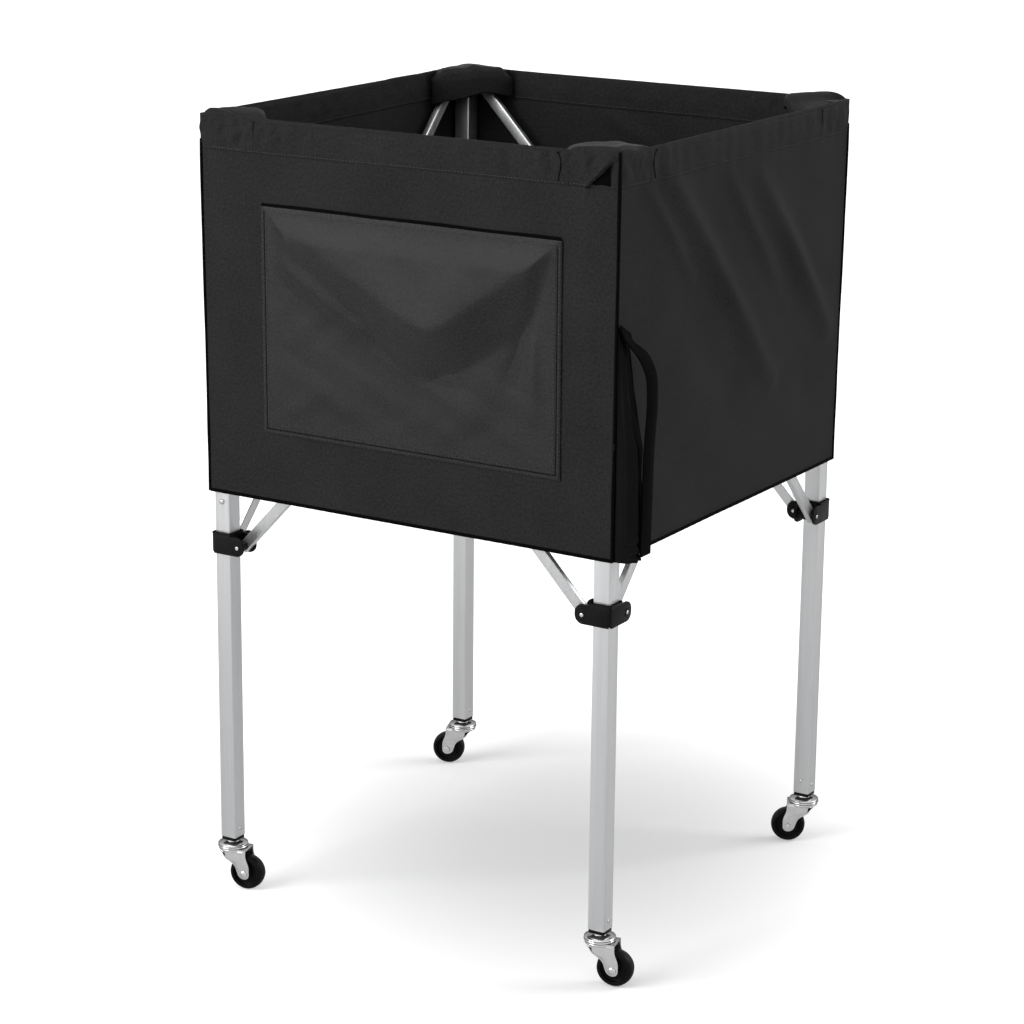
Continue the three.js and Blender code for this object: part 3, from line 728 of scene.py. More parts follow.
collar_parts = [sleeve(COLLAR_LOW, COLLAR_HIGH, False), rim(COLLAR_RIM, COLLAR_HIGH), *fork(COLLAR_PIVOT, 1)]
place_at_corners(
    (both_forks("collar_form", collar_parts, fork(COLLAR_PIVOT, -1)),
     "collar_moulding", black_moulding, "collar", "sliding_collar"),
    (both_forks("collar_pins", pins(COLLAR_PIVOT), pins(COLLAR_PIVOT)),
     "collar_pins", plated_steel, "collar"))
print("collars from", COLLAR_LOW, "to", COLLAR_HIGH, "m")

# %% Top bracket
BRACKET_PIVOT, BRACKET_LOW, BRACKET_RIM, BRACKET_HIGH = 0.9735, 0.957, 0.9592, 0.9878
bracket_parts = [sleeve(BRACKET_LOW, BRACKET_HIGH, True), rim(BRACKET_LOW, BRACKET_RIM),
                 *fork(BRACKET_PIVOT, -1)]
place_at_corners(
    (both_forks("bracket_form", bracket_parts, fork(BRACKET_PIVOT, 1)),
     "bracket_moulding", black_moulding, "frame", "top_bracket"),
    (both_forks("bracket_pins", pins(BRACKET_PIVOT), pins(BRACKET_PIVOT)),
     "bracket_pins", plated_steel, "frame"))
print("brackets close the legs at", LEG_TOP, "m")

# %% [markdown]
# ## Casters
# A black plug fills each leg's foot. Under it sits a pressed race with two rolled rings, and
# the fork turns on balls below that. Turned shapes are made ring by ring: a circle is
# extruded and resized to each next radius, which is how a profile is turned on a lathe.

# %% Turned shapes and the race
def turned(name, profile, sides):
    last_radius, last_height = profile[0]
    bpy.ops.mesh.primitive_circle_add(vertices=sides, radius=last_radius, location=(0, 0, last_height))
    piece = settle(name)
    edit(piece)
    bpy.ops.mesh.select_mode(type="EDGE")
    bpy.ops.mesh.select_all(action="SELECT")
    for radius, height in [*profile[1:], profile[0]]:
        bpy.ops.mesh.extrude_region_move(TRANSFORM_OT_translate={"value": (0, 0, height - last_height)})
        grow = radius / last_radius
        bpy.ops.transform.resize(value=(grow, grow, 1), center_override=(0, 0, height))
        last_radius, last_height = radius, height
    bpy.ops.mesh.select_all(action="SELECT")
    bpy.ops.mesh.remove_doubles(threshold=0.00001)
    bpy.ops.mesh.normals_make_consistent(inside=False)
    done()
    return piece


RACE_PROFILE = [(0.0040, 0.0553), (0.0183, 0.0553), (0.0192, 0.0560), (0.0195, 0.0570), (0.0190, 0.0577),
                (0.0176, 0.0580), (0.0176, 0.0584), (0.0188, 0.0587), (0.0192, 0.0594), (0.0186, 0.0602),
                (0.0165, 0.0608), (0.0140, 0.0617), (0.0105, 0.0619), (0.0082, 0.0624), (0.0080, 0.0645),
                (0.0040, 0.0645)]
KINGPIN_PROFILE = [(0.0008, 0.0490), (0.0042, 0.0490), (0.0058, 0.0496), (0.0065, 0.0505), (0.0065, 0.0516),
                   (0.0008, 0.0516)]
PLUG_HALF, PLUG_LOW, PLUG_HIGH = 0.0104, 0.0648, 0.0692
race_form = joined("race_form", [soften(turned("race", RACE_PROFILE, 48), 0.0002, 2, 50),
                                 soften(turned("kingpin", KINGPIN_PROFILE, 24), 0.0002, 2, 50)])
plug_form = block("plug_form", (-PLUG_HALF, -PLUG_HALF, PLUG_LOW), (PLUG_HALF, PLUG_HALF, PLUG_HIGH))
round_long_edges(plug_form, 0.0015, 4)
soften(plug_form, 0.0006, 3)
place_at_corners((race_form, "race_rings", plated_steel, "frame", "swivel_race"),
                 (plug_form, "foot_plug", black_moulding, "frame", "caster_plug"))
print("races", round(2000 * max(radius for radius, height in RACE_PROFILE)), "mm across")

# %% Fork plates
TRAIL, AXLE_UP, PLATE_IN, PLATE_OUT = 0.020, 0.0225, 0.0112, 0.0130
CROWN_RADIUS, CROWN_LOW, CROWN_HIGH, PLATE_FRONT = 0.0182, 0.0519, 0.0549, 0.022


def fork_plate():
    """A strip that starts under the crown, is drawn down to the axle and gets a raised middle."""
    piece = block("plate", (-0.009, -PLATE_OUT, 0.0439), (PLATE_FRONT, -PLATE_IN, CROWN_HIGH))
    edit(piece)
    pick("FACE", lambda f: f.normal.z < -0.99)
    bpy.ops.mesh.extrude_region_move(TRANSFORM_OT_translate={"value": (0.0105, 0, -0.0105)})
    bpy.ops.transform.resize(value=(0.63, 1, 1), center_override=(0.017, -PLATE_IN, 0.0334))
    bpy.ops.mesh.extrude_region_move(TRANSFORM_OT_translate={"value": (0.003, 0, -0.0177)})
    bpy.ops.transform.resize(value=(0.68, 1, 1), center_override=(TRAIL, -PLATE_IN, 0.0157))
    pick("EDGE", lambda e: runs_along(e, 1) and middle_of(e).z < 0.016)
    bpy.ops.mesh.bevel(offset=0.0062, segments=8, affect="EDGES")
    pick("EDGE", lambda e: runs_along(e, 1) and 0.03 < middle_of(e).z < 0.05)
    bpy.ops.mesh.bevel(offset=0.004, segments=4, affect="EDGES")
    pick("FACE", lambda f: f.normal.y < -0.99)
    bpy.ops.mesh.inset(thickness=0.0022, depth=0)
    bpy.ops.mesh.inset(thickness=0.0009, depth=0.0007)
    done()
    return soften(piece, 0.0003, 2, 30)


plate = fork_plate()
other_plate = copied(plate, "plate", Matrix.Scale(-1, 4, (0, 1, 0)))
crown = rod("crown", CROWN_RADIUS, (0, 0, CROWN_LOW), (0, 0, CROWN_HIGH), 48)
soften(crown, 0.0011, 3, 60)
bridge = block("bridge", (0, -PLATE_OUT + 0.0004, CROWN_LOW),
               (PLATE_FRONT, PLATE_OUT - 0.0004, CROWN_HIGH))
soften(bridge, 0.0009, 3)
fork_form = joined("fork_form", [plate, other_plate, crown, bridge])
print("fork plates", PLATE_OUT - PLATE_IN, "m thick")

# %% Axle and wheel
AXLE_RADIUS, AXLE_REACH, NUT_RADIUS, NUT_END = 0.003, 0.0136, 0.0046, 0.0152
axle_form = joined("axle_form", [
    rod("axle", AXLE_RADIUS, (TRAIL, -AXLE_REACH, AXLE_UP), (TRAIL, AXLE_REACH, AXLE_UP), 20),
    soften(rod("nut", NUT_RADIUS, (TRAIL, 0.0133, AXLE_UP), (TRAIL, NUT_END, AXLE_UP), 6), 0.0004, 2, 50),
    domed("bolt_head", NUT_RADIUS, 0.0018, (TRAIL, -0.0137, AXLE_UP), (0, -1, 0), 24)])
HALF_SECTION = [(0.0033, 0.0105), (0.0070, 0.0105), (0.0075, 0.0100), (0.0075, 0.0052), (0.0082, 0.0045),
                (0.0145, 0.0045), (0.0155, 0.0052), (0.0160, 0.0082), (0.0168, 0.0090), (0.0180, 0.0090),
                (0.0182, 0.0086), (0.0187, 0.0086), (0.0190, 0.0089), (0.0203, 0.0082), (0.0215, 0.0064),
                (0.0222, 0.0036), (0.0225, 0.0)]
section = [*HALF_SECTION, *[(radius, -side) for radius, side in reversed(HALF_SECTION[:-1])]]
wheel_form = turned("wheel_form", section, 72)
wheel_form.data.transform(Matrix.Translation((TRAIL, 0, AXLE_UP)) @ Matrix.Rotation(math.pi / 2, 4, "X"))
take(wheel_form)
bpy.ops.object.shade_smooth_by_angle(angle=math.radians(32))
place_at_corners((fork_form, "caster_yoke", plated_steel, "swivel", "caster_fork"),
                 (axle_form, "axle_bolt", plated_steel, "swivel", "axle"),
                 (wheel_form, "caster_wheel", wheel_rubber, "wheel", "wheel"), headed=True)
print("wheels", 2 * AXLE_UP, "m across")

# %% [markdown]
# ## Cloth
# The bag is sewn from flat cuts of a coated black weave. A cut is made here as a flat grid
# whose points are then moved in code onto the surface that the cloth takes, folds and all,
# and it keeps a UV map in metres, so the weave has its real scale and bends with the folds.
# Heights and widths of a side are written once, for the front, and turned to the others.

# %% Cloth helpers
def face_depth(height):
    return HALF + CLOTH_LOW + (height - BAG_FOOT) / (BAG_TOP - BAG_FOOT) * (CLOTH_HIGH - CLOTH_LOW)


def on_side(across, depth, height):
    return across, -depth, height


def places_of(points):
    return np.stack(np.broadcast_arrays(*points), axis=-1)


def cloth(name, steps, shape, size, turn=None, wall=0.0):
    bpy.ops.mesh.primitive_grid_add(x_subdivisions=steps[0], y_subdivisions=steps[1], size=1)
    piece = settle(name)
    mesh = piece.data
    flat = np.empty(len(mesh.vertices) * 3)
    mesh.vertices.foreach_get("co", flat)
    s, t = flat.reshape(-1, 3)[:, 0] + 0.5, flat.reshape(-1, 3)[:, 1] + 0.5
    mesh.vertices.foreach_set("co", places_of(shape(s, t)).ravel())
    corner = np.empty(len(mesh.loops), dtype=np.int32)
    mesh.loops.foreach_get("vertex_index", corner)
    cut = np.stack((s[corner] * size[0], t[corner] * size[1]), axis=-1)
    mesh.uv_layers["UVMap"].data.foreach_set("uv", cut.ravel())
    mesh.update()
    if turn is not None:
        mesh.transform(turn)
    area = sum(face.area for face in mesh.polygons)
    if wall:
        solid = piece.modifiers.new("wall", "SOLIDIFY")
        solid.thickness, solid.offset, solid.use_even_offset = wall, -1, True
        bpy.ops.object.modifier_apply(modifier="wall")
    bpy.ops.object.shade_smooth()
    print(name, "cut", round(area, 4), "square metres")
    return piece


def ridge(across, height, start, end, width, rise):
    way = np.subtract(end, start)
    share = ((across - start[0]) * way[0] + (height - start[1]) * way[1]) / (way @ way)
    kept = np.clip(share, 0, 1)
    gap = np.hypot(across - start[0] - kept * way[0], height - start[1] - kept * way[1])
    return rise * np.exp(-(gap / width) ** 2) * (0.35 + 0.65 * np.sin(np.pi * kept))


def ease(value, low, high):
    share = np.clip((value - low) / (high - low), 0, 1)
    return share * share * (3 - 2 * share)


def crumple(a, b, seed, scale):
    total = 0
    for step in range(1, 5):
        lean = 1.7 * math.sin(seed * 12.9898 + step * 4.1)
        pace = scale * (0.7 + 0.6 * step)
        bend = 1.3 * np.sin(pace * 0.6 * b + step)
        total = total + np.sin(pace * (a + lean * b) + seed * 3.1 + step * 2.3 + bend) / step
    return total / 2


def fold_up(piece):
    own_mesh(piece)


print("cloth leans out from", round(face_depth(BAG_FOOT), 4), "to", round(face_depth(BAG_TOP), 4), "m")

# %% [markdown]
# ## Side panels
# Four cuts hang between the corners. The right one is pulled by the strap and shows long
# soft ridges from the upper left to the lower right. The front one is held flat by its
# pocket. All of them pucker a little under the sewn hem. A fold is written as its start and
# its end, each as a place across and a height, then its width and its rise.

# %% Folds of each side
PANEL_CUT, PANEL_WALL = (0.576, 0.464), 0.0013
FOLDS = {
    "front": [((-0.262, 0.94), (-0.235, 0.60), 0.016, 0.0011), ((0.250, 0.93), (0.245, 0.56), 0.014, 0.0012),
              ((-0.15, 0.575), (0.18, 0.555), 0.02, 0.0009)],
    "right": [((-0.232, 0.952), (-0.115, 0.825), 0.011, 0.0036),
              ((-0.185, 0.962), (0.095, 0.670), 0.018, 0.0094),
              ((-0.030, 0.935), (0.130, 0.755), 0.014, 0.0044),
              ((0.055, 0.915), (0.250, 0.705), 0.018, 0.0094),
              ((-0.14, 0.82), (0.02, 0.62), 0.034, -0.0024), ((0.10, 0.80), (0.22, 0.60), 0.034, -0.0020)],
    "rear": [((0.075, 0.950), (-0.03, 0.895), 0.013, -0.0036), ((-0.20, 0.93), (0.02, 0.74), 0.022, 0.0030),
             ((0.08, 0.94), (0.2, 0.78), 0.02, 0.0024), ((-0.05, 0.72), (0.14, 0.58), 0.03, 0.0022)],
    "left": [((-0.18, 0.94), (-0.02, 0.76), 0.02, 0.0026), ((0.04, 0.92), (0.19, 0.74), 0.022, 0.0032),
             ((-0.1, 0.7), (0.1, 0.57), 0.03, 0.0020)],
}


def panel_depth(side, across, height):
    depth = face_depth(height)
    for start, end, width, rise in FOLDS[side]:
        depth = depth + ridge(across, height, start, end, width, rise)
    seed = SIDES.index(side) + 1
    held = ease(0.283 - np.abs(across), 0, 0.03)
    depth = depth + held * 0.0005 * crumple(across, height, seed, 15)
    puckers = np.sin(across * 190 + 1.5 * np.sin(across * 47 + seed))
    puckers = puckers * np.exp(-np.maximum(0.953 - height, 0) / 0.016)
    return depth + held * 0.00028 * puckers


def panel_shape(side):
    reach = 0.0 if side in ("front", "rear") else 0.0016

    def shape(s, t):
        height = BAG_FOOT + 0.001 + t * (BAG_TOP - BAG_FOOT - 0.002)
        across = (2 * s - 1) * (face_depth(height) - reach)
        return on_side(across, panel_depth(side, across, height), height)

    return shape


panels = {}
for turn, side in enumerate(SIDES):
    panel = cloth(f"{side}_side_cloth", (150, 120), panel_shape(side), PANEL_CUT, quarter(turn), PANEL_WALL)
    panels[side] = dress(panel, bag_cloth, SIDE_BODY[side], f"{side}_panel")

# %% [markdown]
# ## Hem
# The top edge is folded over and sewn down, inside and out. The hem is one strip bent over
# the panel's edge: up the outside, over the top and down the inside, a little puffed between
# the fold and the seam.

# %% Hem around the mouth
HEM_FOOT, HEM_HALF, HEM_CUT = 0.9528, 0.2225, (0.445, 0.08)
HEM_RISE = (0, 0.0015, 0.018, 0.0348, 0.0372, 0.0378)
HEM_OUTSIDE = (0.0002, 0.0010, 0.0019, 0.0013, 0.0006, -0.0008)
HEM_INSIDE = (-0.0022, -0.0029, -0.0036, -0.0028, -0.0020)
HEM_BUNCH = {"front": 0.0019, "right": 0.0009, "rear": 0.0010, "left": 0.0010}
HEM_SUNK = {"front": (0.0066, 0.0042), "right": (0.0036, 0.0062),
            "rear": (0.0062, 0.0008), "left": (0.0008, 0.0066)}


def sunk(side, across):
    """How much lower the hem hangs than the frame's top, from one end of a side to the other."""
    return np.interp(across, (-HALF, HALF), HEM_SUNK[side])


def hem_wave(across, seed):
    return 0.0006 * np.sin(across * 17 + seed) + 0.0003 * np.sin(across * 53 + 2 * seed)


def hem_out(height):
    return np.interp(height - HEM_FOOT, HEM_RISE, HEM_OUTSIDE)


def hem_ripple(side, across, height):
    share = np.clip((height - HEM_FOOT) / HEM_RISE[-1], 0, 1)
    seed = SIDES.index(side)
    bunched = HEM_BUNCH[side] * ease(np.abs(across), 0.09, 0.20)
    ripple = 0.0007 * crumple(across, height, seed + 6, 70)
    return (ripple + bunched * crumple(across, 0.3 * height, seed + 12, 170)) * np.sin(np.pi * share)


def hem_shape(side):
    seed = SIDES.index(side) + 1

    def shape(s, t):
        across = (2 * s - 1) * HEM_HALF
        knots = (0, 0.06, 0.24, 0.42, 0.47, 0.5, 0.53, 0.58, 0.76, 0.94, 1)
        out = np.interp(t, knots, (*HEM_OUTSIDE, *HEM_INSIDE))
        rise = np.interp(t, knots, (*HEM_RISE, *HEM_RISE[-2::-1]))
        top = ease(rise, 0.01, 0.035)
        height = HEM_FOOT + rise + hem_wave(across, seed) * (0.5 + 0.8 * top) - sunk(side, across)
        ripple = hem_ripple(side, across, height) * np.where(t < 0.5, 1, -1)
        return on_side(across, panel_depth(side, across, np.minimum(height, BAG_TOP)) + out + ripple, height)

    return shape


hems = {}
for turn, side in enumerate(SIDES):
    hem = cloth(f"{side}_hem", (150, 40), hem_shape(side), HEM_CUT, quarter(turn))
    hems[side] = dress(hem, bag_cloth, SIDE_BODY[side])

# %% [markdown]
# ## Stitches
# A lockstitch is a row of short rounded thread loops. One loop is modelled as a low ball
# stretched along the seam, and is copied along each row as one mesh.

# %% Stitch rows
bpy.ops.mesh.primitive_uv_sphere_add(segments=6, ring_count=4, radius=1)
stitch = settle("stitch_form")
edit(stitch)
pick("VERT", lambda v: v.co.z < -0.9)
bpy.ops.transform.translate(value=(0, 0, 0.3))
done()
LOOP_POINTS = np.array([v.co for v in stitch.data.vertices])
LOOP_FACES = [list(face.vertices) for face in stitch.data.polygons]
drop(stitch)


def spot_on(line, walked, distance):
    return np.array([np.interp(distance, walked, line[:, axis]) for axis in range(3)])


def stitches(name, rows, pitch=0.0044, long=0.0031, thick=0.0008):
    points, faces = [], []
    for line, outward in rows:
        steps = np.linalg.norm(np.diff(line, axis=0), axis=1)
        walked = np.concatenate(([0], np.cumsum(steps)))
        for start in np.arange(pitch / 2, walked[-1], pitch):
            before, after = spot_on(line, walked, start - 0.001), spot_on(line, walked, start + 0.001)
            along = after - before
            along /= np.linalg.norm(along)
            side = np.cross(outward, along)
            side /= np.linalg.norm(side)
            faces += [[i + len(points) * len(LOOP_POINTS) for i in face] for face in LOOP_FACES]
            loop = np.stack((along * long / 2, side * thick / 2, np.cross(along, side) * thick * 0.55))
            points.append(LOOP_POINTS @ loop + (before + after) / 2)
    data = bpy.data.meshes.new(name)
    data.from_pydata(np.concatenate(points), [], faces)
    piece = bpy.data.objects.new(name, data)
    bpy.context.scene.collection.objects.link(piece)
    edit(piece)
    bpy.ops.mesh.select_all(action="SELECT")
    bpy.ops.mesh.normals_make_consistent(inside=False)
    done()
    bpy.ops.object.shade_smooth()
    print(name, len(points), "stitches")
    return piece


def moved(line, place):
    place = np.array(place)
    return np.asarray(line) @ place[:3, :3].T + place[:3, 3]


def faced(way, place):
    return np.array(place)[:3, :3] @ way


def hem_line(side, turn, t):
    s = np.linspace(0.01, 0.99, 160)
    line = places_of(hem_shape(side)(s, np.full_like(s, t)))
    way = -1 if t < 0.5 else 1
    line[:, 1] += way * 0.0002
    return moved(line, quarter(turn)), faced((0, way, 0), quarter(turn))


hem_threads = {}
for turn, side in enumerate(SIDES):
    sewn = stitches(f"{side}_hem_stitches", [hem_line(side, turn, t) for t in (0.075, 0.925)])
    hem_threads[side] = dress(sewn, thread, SIDE_BODY[side], slot="bag_cloth")

# %% [markdown]
# ## Piping and binding
# The panels meet in corded seams: a thin black cord stands on each upright corner, and a
# folded black tape binds the bottom edge.

# %% Piping and binding
def piping_shape(top):
    def shape(s, t):
        height = BAG_FOOT + 0.001 + t * (top - BAG_FOOT - 0.001)
        thick = 0.0020 + 0.0003 * crumple(height, 0, 4, 30)
        out = -face_depth(height) + 0.0004 + 0.0005 * crumple(height, 0, 9, 16)
        return out + thick * np.cos(math.tau * s), out + thick * np.sin(math.tau * s), height

    return shape


def close_tube(piece):
    edit(piece)
    bpy.ops.mesh.select_all(action="SELECT")
    bpy.ops.mesh.remove_doubles(threshold=0.00002)
    bpy.ops.mesh.fill_holes(sides=0)
    bpy.ops.mesh.select_all(action="SELECT")
    bpy.ops.mesh.normals_make_consistent(inside=False)
    done()


PIPING_TOP, FRONT_RIGHT_PIPING_TOP, PIPING_ROUND, BINDING_CUT = 0.958, 0.9905, 0.0126, (0.57, 0.02)
for turn, corner in enumerate(CORNERS):
    top = FRONT_RIGHT_PIPING_TOP if corner == "front_right" else PIPING_TOP
    piping = cloth(f"corner_piping_{corner}", (13, 140), piping_shape(top), (PIPING_ROUND, top - BAG_FOOT),
                   quarter(turn))
    close_tube(piping)
    dress(piping, dark_thread, f"frame_{corner}", slot="black_webbing")


def binding_shape(side):
    def shape(s, t):
        across = (2 * s - 1) * (face_depth(BAG_FOOT) - 0.0005)
        knots = (0, 0.1, 0.42, 0.5, 0.58, 0.9, 1)
        out = np.interp(t, knots, (0.0003, 0.0011, 0.0012, -0.0008, -0.0028, -0.0027, -0.0018))
        rise = np.interp(t, knots, (0.0044, 0.0039, 0.0006, -0.0004, 0.0006, 0.0064, 0.0070))
        depth = panel_depth(side, across, BAG_FOOT + 0.002) + out + 0.0002 * np.sin(across * 400)
        return on_side(across, depth, BAG_FOOT + rise)

    return shape


bindings = {}
for turn, side in enumerate(SIDES):
    tape = cloth(f"{side}_bottom_binding", (120, 18), binding_shape(side), BINDING_CUT, quarter(turn))
    bindings[side] = dress(tape, black_webbing, SIDE_BODY[side])

# %% [markdown]
# ## Corner caps
# Each top corner has a sewn cap of the same cloth: up the outside of both panels, level with
# the hem, over the bracket and down inside as a flap. It is one sheet here. Its outline runs
# round the corner, and across that it climbs, rounds over the top and drops again. The cloth is
# bunched where the hem runs into it, and every corner has its own dog-ear and droop. CAP_LOOKS
# gives each cap's seed, the rise and place of its peak, its pinch, its tilt, the dip at the
# corner, the flap's heights at both ends and how strongly both ends are bunched.

# %% Corner caps
CAP_REACH, CAP_FOLD, CAP_TOP = 0.062, 0.0055, 0.9910
CAP_CUT, CAP_AREA, CAP_WALL, TUCK_SHADOW_CUT = (0.158, 0.125), 0.0158, 0.0010, (0.026, 0.020)
TUCK_TOP, TUCK_SLANT = 0.9735, 0.93
CAP_KNOTS = (0, 0.1, 0.22, 0.32, 0.38, 0.45, 0.58, 0.7, 0.77, 0.84, 1)
CAP_INWARD = (0, 0, 0, 0.008, 0.04, 0.15, 0.5, 0.85, 0.96, 1, 1)
CAP_RISE = (0, 0.32, 0.66, 0.9, 0.98, 1.0, 0.985, 0.93, 0.82, 0.6, 0)
CAP_LOOKS = {
    "front_left": (1.0, 0.0130, 0.62, 0, -0.0068, 0.85, (0.952, 0.952), (0.0012, 0.0017)),
    "front_right": (2.4, 0.0058, 0.45, 0, 0, 0, (0.955, 0.955), (0.0009, 0.0010)),
    "rear_right": (3.7, 0.0122, 0.70, 0, -0.0070, 0.35, (0.955, 0.970), (0.0004, 0.0012)),
    "rear_left": (5.2, 0.0022, 0.5, 0.0022, 0.0046, 0, (0.954, 0.946), (0.0012, 0.0012)),
}


def cap_outline(s, out):
    """Round the outside of a corner, from one side's end (s is 0) to the other's (s is 1)."""
    straight = CAP_REACH + out - CAP_FOLD
    arc = CAP_FOLD * math.pi / 2
    walk = (1 - s) * (2 * straight + arc)
    turned_by = np.clip((walk - straight) / CAP_FOLD, 0, math.pi / 2)
    after = np.clip(walk - straight - arc, 0, None)
    x = CAP_REACH - np.minimum(walk, straight) - CAP_FOLD * np.sin(turned_by)
    return x, -out + CAP_FOLD * (1 - np.cos(turned_by)) + after


def cap_across(turn, s):
    """The two sides that meet at a cap, each with how far across it this place lies."""
    reach = (CAP_REACH + CLOTH_HIGH) * np.abs(2 * s - 1) - CLOTH_HIGH
    return (SIDES[turn - 1], HALF - reach), (SIDES[turn], reach - HALF)


def cap_out(turn, s, height):
    """How far the hem's face stands out at a cap, on the side before the corner and after it."""
    low = np.minimum(height, BAG_TOP)
    before, after = (panel_depth(side, across, low) + hem_ripple(side, across, height)
                     for side, across in cap_across(turn, s))
    puff = np.maximum(hem_out(np.minimum(height, HEM_FOOT + HEM_RISE[3])), 0)
    return np.where(s < 0.5, before, after) - HALF + puff + 0.0003


def cap_sunk(turn, s):
    before, after = (sunk(side, across) for side, across in cap_across(turn, s))
    return np.where(s < 0.5, before, after)


def cap_inside(s):
    """The flap's line inside the bag: close to both panels at its ends, bowed in the middle."""
    end, near = CAP_REACH + 0.004, -0.0128
    bow = 0.011 * np.clip(np.sin(np.pi * s), 0, 1) ** 0.5
    return near + s * (end - near) + bow, end + s * (near - end) + bow


def cap_tuck(along, height):
    """The folded end of the front hem: a flap lies over the cloth below it along a slant."""
    below = TUCK_TOP - TUCK_SLANT * (along + 0.003) - height
    hollow = ease(below, 0, 0.0010) * ease(along, -0.011, -0.007) * ease(height, 0.9500, 0.9520)
    lip = np.exp(np.minimum(below, 0) / 0.007) * (1 - ease(below, 0, 0.0010))
    lip = lip * ease(along, -0.012, -0.002) * ease(0.034 - along, 0, 0.014)
    return 0.0062 * lip - 0.0024 * hollow


def cap_creases(seed, bunch, s, t, height):
    """Slanting creases where the hem runs into both ends, and a crumple all over."""
    ends = np.exp(-((s - 0.08) / 0.13) ** 2) + np.exp(-((0.92 - s) / 0.13) ** 2)
    walk = s * CAP_CUT[0]
    slant = np.sin((walk + 0.6 * (height - 0.953) * np.sign(s - 0.5)) * 520 + 1.2 * np.sin(s * 23 + seed))
    strength = bunch[0] + (bunch[1] - bunch[0]) * ease(s, 0.4, 0.6)
    crease = strength * ends * (0.35 * slant + 0.75 * crumple(walk, height, seed, 110))
    crease = crease + 0.0005 * crumple(walk, height, seed, 70)
    held = ease(t, 0.0, 0.06) * ease(np.minimum(s, 1 - s), 0, 0.02)
    return np.where(t < 0.5, crease, 0.6 * crease) * held


def cap_shape(turn, s, t):
    seed, peak_rise, peak_at, pinch_rise, tilt, dip, droop, bunch = CAP_LOOKS[CORNERS[turn]]
    inward = np.interp(t, CAP_KNOTS, CAP_INWARD)
    rise = np.interp(t, CAP_KNOTS, CAP_RISE)
    middle = np.clip(np.sin(np.pi * s), 0, 1)
    peak = np.exp(-((s - peak_at) / 0.3) ** 2) * middle ** 0.4
    peak = peak - dip * np.exp(-((s - 0.5) / 0.045) ** 2) * (1 - ease(inward, 0.1, 0.5))
    pinch_at = 0.72 if tilt > 0 else 0.42
    pinch = pinch_rise * np.exp(-((s - 0.5) / 0.05) ** 2) * np.exp(-((t - pinch_at) / 0.1) ** 2)
    low = cap_sunk(turn, s)
    hung = low * (1 - 0.9 * ease(inward, 0.02, 0.25) * ease(middle, 0, 0.4))
    rumple = 0.0014 * middle * crumple(s * 0.15, t * 0.02, seed + 3, 60)
    top = CAP_TOP - hung + peak_rise * peak + pinch + rumple
    top = top - 0.010 * ease(inward, 0.02, 0.3) * (1 - ease(middle, 0, 0.55))
    tilted = ease(inward, 0.02, 0.22) if tilt < 0 else ease(inward, 0.1, 0.8)
    top = top + tilt * tilted * ease(middle, 0, 0.5)
    inner_foot = droop[0] + (droop[1] - droop[0]) * ease(s, 0.3, 0.7) + 0.009 * middle
    foot = np.where(t < 0.5, HEM_FOOT + 0.0004 - low, inner_foot)
    height = foot + rise * (top - foot)
    ox, oy = cap_outline(s, cap_out(turn, s, height))
    ix, iy = cap_inside(s)
    x, y = ox + (ix - ox) * inward, oy + (iy - oy) * inward
    crease = cap_creases(seed, bunch, s, t, height)
    nx, ny = ox - 0.012, oy - 0.012
    length = np.hypot(nx, ny)
    tucked = CORNERS[turn] == "front_right"
    tuck = cap_tuck(oy, height) * (t < 0.42) * (ox < -0.01) if tucked else 0
    sag = -0.0022 * np.exp(-((t - 0.57) / 0.08) ** 2) * peak * (tilt == 0)
    return x + crease * nx / length - tuck, y + crease * ny / length, height + sag + 0.5 * crease * (t > 0.35)


def tuck_shadow_shape(s, t):
    """A painted shadow in the open end of the front hem: a leaning triangle of dark cloth where the fold's
    hollow lies in shade.
    """
    along = -0.0060 + 0.0270 * s
    low = 0.9524 + 0.0004 * np.sin(400 * along)
    high = np.maximum(0.9732 - TUCK_SLANT * (along + 0.003), low + 0.0004)
    height = low + (high - low) * t
    puff = 0.0006 * np.sin(np.pi * s) * np.sin(np.pi * t)
    return 0.0003 - cap_out(1, 0.12 + 0 * s, height) - puff, along, height


caps = {}
for turn, corner in enumerate(CORNERS):
    place, body = at_corner(turn), f"frame_{corner}"
    cap = cloth(
        f"cap_cloth_{corner}", (110, 70), lambda s, t: cap_shape(turn, s, t), CAP_CUT, place, CAP_WALL)
    foot_s = np.linspace(0.01, 0.99, 60)
    line = moved(places_of(cap_shape(turn, foot_s, np.full_like(foot_s, 0.0213))), place)
    rows = [(line[:24], faced((-1, 0, 0), place)), (line[36:], faced((0, -1, 0), place))]
    sewn = stitches(f"cap_stitches_{corner}", rows)
    if corner == "front_right":
        # Painted shadow: a triangle of black webbing fills the hollow under the front right cap's folded end.
        tuck_shadow = cloth("cap_tuck_shadow", (24, 24), tuck_shadow_shape, TUCK_SHADOW_CUT, place)
        dress(tuck_shadow, black_webbing, body)
        up = np.linspace(0.02, 0.36, 40)
        sway = 0.05 * np.sin(np.pi * up / 0.36) ** 2
        rows = [(moved(places_of(cap_shape(turn, share, up)), place), faced(outward, place))
                for share, outward in ((0.985 - sway, (0, -1, 0)), (0.015 + 0.4 * sway, (-1, 0, 0)))]
        seam = stitches("cap_end_seam", rows, pitch=0.0026, long=0.0032, thick=0.0016)
        dress(seam, dark_thread, body, slot="bag_cloth")
    caps[corner] = [dress(cap, bag_cloth, body, f"corner_cap_{corner}"),
                    dress(sewn, thread, body, slot="bag_cloth")]
caps["front_right"] += [tuck_shadow, seam]

# %% [markdown]
# ## Pocket
# A flat pocket is sewn on the front. Its cloth is a shade lighter and is pulled into a wide V:
# two valleys run from its upper corners to a soft dimple below the middle, and the cloth
# between them stands out and takes the light.

